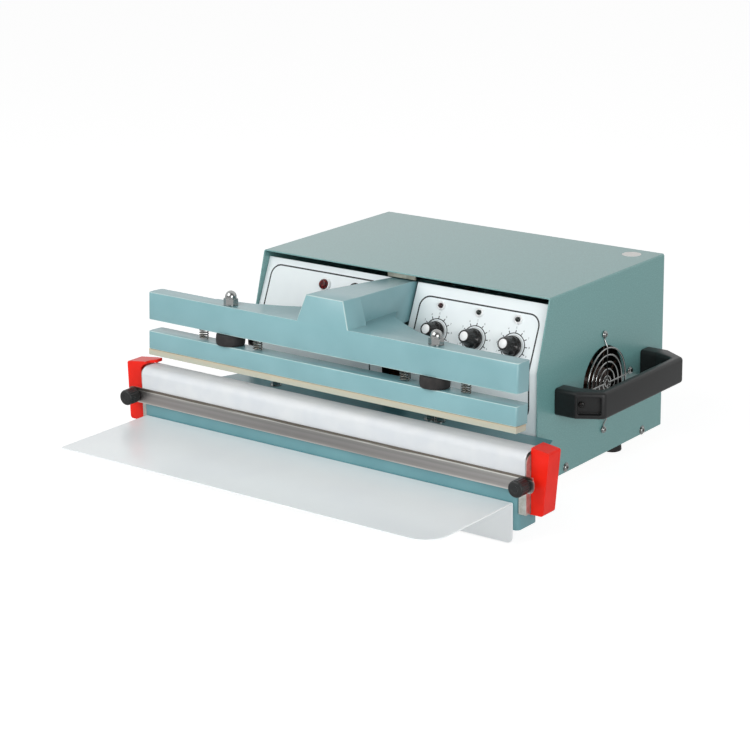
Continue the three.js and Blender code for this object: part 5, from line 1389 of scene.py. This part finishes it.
def make_inlet():
    dressed("power_inlet", "power_inlet_shell", "black", 0.4 * MM, 2)
    high = span("power_inlet")[1]
    centre = middle("power_inlet")
    pin_width, pin_thick, pin_length, back, spread = 4 * MM, 2 * MM, 14 * MM, 20 * MM, 7 * MM
    below, above, screw_reach = -2 * MM, 3 * MM, 20 * MM
    pins = []
    for x, z in ((-spread, below), (spread, below), (0, above)):
        blade = extruded(rectangle(pin_thick, pin_width, 0.6 * MM), 0, pin_length)
        pins.append(moved(blade, facing_back(Vector((centre.x + x, high.y - back, centre.z + z)))))
    piece("inlet_pins", merged(*pins), "brass", "power_inlet", edge=0.2 * MM, steps=2)
    for side, sign in SIDES:
        place = facing_back(Vector((centre.x + sign * screw_reach, high.y, centre.z)))
        fasten(f"inlet_screw_{side}", place, 2.8 * MM, 1.4 * MM, "power_inlet")


def make_foot_socket():
    low, high = span("foot_socket")
    centre = middle("foot_socket")
    place = facing_back(Vector((centre.x, 0, centre.z)))
    outer, bore, face, floor = (high.x - low.x) / 2, 6.2 * MM, high.y, high.y - 6 * MM
    barrel, rear, flange = bore + 1.4 * MM, low.y + 1.4 * MM, face - 2.6 * MM
    shell = turned([
        (bore, rear), (barrel, rear), (barrel, flange), (outer, flange), (outer, face - 0.5 * MM),
        (outer - 0.5 * MM, face), (bore + 0.8 * MM, face), (bore, face - 0.8 * MM),
    ], closed=True)
    stand_in("foot_socket_shell", shell, "chrome", "foot_socket", at=place)
    piece("foot_socket_insert", disc(bore, low.y, floor, 56), "black", "foot_socket", at=place)
    circle_radius, pin, tip, pin_length = 3 * MM, 0.8 * MM, 0.4 * MM, 4 * MM
    pins = []
    for degrees in (90, 210, 330):
        spot = polar(circle_radius, math.radians(degrees), floor)
        profile = [(0, 0), (pin, 0), (pin, pin_length - 0.6 * MM), (tip, pin_length), (0, pin_length)]
        pins.append(moved(turned(profile, 24), Matrix.Translation(spot)))
    piece("foot_socket_pins", merged(*pins), "brass", "foot_socket", at=place)


# Studio
def seen_rays(tree, path):
    """1 for rays from the camera, from gloss and through lenses, and 0 for the rest."""
    gloss = maths(tree, "MAXIMUM", path["Is Camera Ray"], path["Is Glossy Ray"])
    return maths(tree, "MAXIMUM", gloss, path["Is Transmission Ray"])


def make_floor():
    # Pale matt floor that stays near white to the camera and in gloss, and keeps a faint shadow
    reach = 6
    solid = bmesh.new()
    solid.faces.new([solid.verts.new((a, b, 0)) for a, b, _ in rectangle(2 * reach, 2 * reach)])
    floor = placed_in_scene("floor", solid)
    material, tree, shader = finish_of("matt_floor", "#e7e8e8", 0.9, Specular_IOR_Level=0.0)
    path = add(tree, "LightPath").outputs
    glow_in_gloss, glow_seen = 0.45, 0.88
    strength = ranged(tree, path["Is Camera Ray"], 0, 1, glow_in_gloss, glow_seen)
    faint = add(tree, "BsdfDiffuse", Color=linear("#a0a0a0"))
    glow = add(tree, "Emission", Color=linear("#ffffff"), Strength=strength)
    shown = add(tree, "AddShader", i0=faint.outputs[0], i1=glow.outputs[0])
    both = add(tree, "MixShader", i0=seen_rays(tree, path), i1=shader.outputs[0], i2=shown.outputs[0])
    tree.links.new(both.outputs[0], tree.nodes["Material Output"].inputs["Surface"])
    floor.data.materials.append(material)


def make_world():
    # A white room that is open and dim on the side where the object is looked at from
    open_side = (0.612, -0.791, 0.0)
    dim_gloss, back_light, front_light = 0.25, 0.1, 0.55
    gloss_fade, soft_fade = (-0.2, 0.6), (-0.4, 0.9)
    world = bpy.data.worlds.new("studio")
    bpy.context.scene.world = world
    world.use_nodes = True
    tree = world.node_tree
    sky = tree.nodes["Background"]
    sky.inputs["Color"].default_value = linear("#ffffff")
    facing = dot(tree, add(tree, "TexCoord").outputs["Generated"], open_side)
    gloss = ranged(tree, facing, *gloss_fade, 1, dim_gloss, interpolation_type="SMOOTHSTEP")
    soft = ranged(tree, facing, *soft_fade, back_light, front_light)
    path = add(tree, "LightPath").outputs
    mirrored = add(tree, "Mix", i0=path["Is Camera Ray"], i2=gloss, i3=1.0).outputs[0]
    level = add(tree, "Mix", i0=seen_rays(tree, path), i2=soft, i3=mirrored).outputs[0]
    tree.links.new(level, sky.inputs["Strength"])


def lamp(name, place, aim, size, power):
    """A square soft light that faces a point."""
    data = bpy.data.lights.new(name, "AREA")
    data.size = size
    data.energy = power
    light = bpy.data.objects.new(name, data)
    light.location = place
    light.rotation_mode = "QUATERNION"
    light.rotation_quaternion = (Vector(aim) - Vector(place)).to_track_quat("-Z", "Y")
    bpy.context.scene.collection.objects.link(light)


def make_lights():
    lamp("key", (-0.4, -1.2, 1.15), (0, -0.1, 0.1), 1.3, 16)
    lamp("fill", (2.45, -1.5, 0.65), (0, 0, 0.1), 1.5, 40)


make_camera()
make_cover()
make_rear_panel()
make_front_panels()
make_outlines()
for dial in ("left", "middle", "right"):
    make_dial(dial)
    make_led(dial)
make_pilot()
make_button()
make_lower_jaw()
make_cloth()
make_jaw_fittings()
make_shelf()
make_arm()
make_works()
make_fan()
for handle_side, handle_sign in SIDES:
    make_handle(handle_side, handle_sign)
for foot_row in ("front", "rear"):
    for foot_side, _ in SIDES:
        make_foot(foot_row, foot_side)
make_inlet()
make_foot_socket()
make_floor()
make_world()
make_lights()

bpy.context.scene.view_settings.view_transform = "Standard"
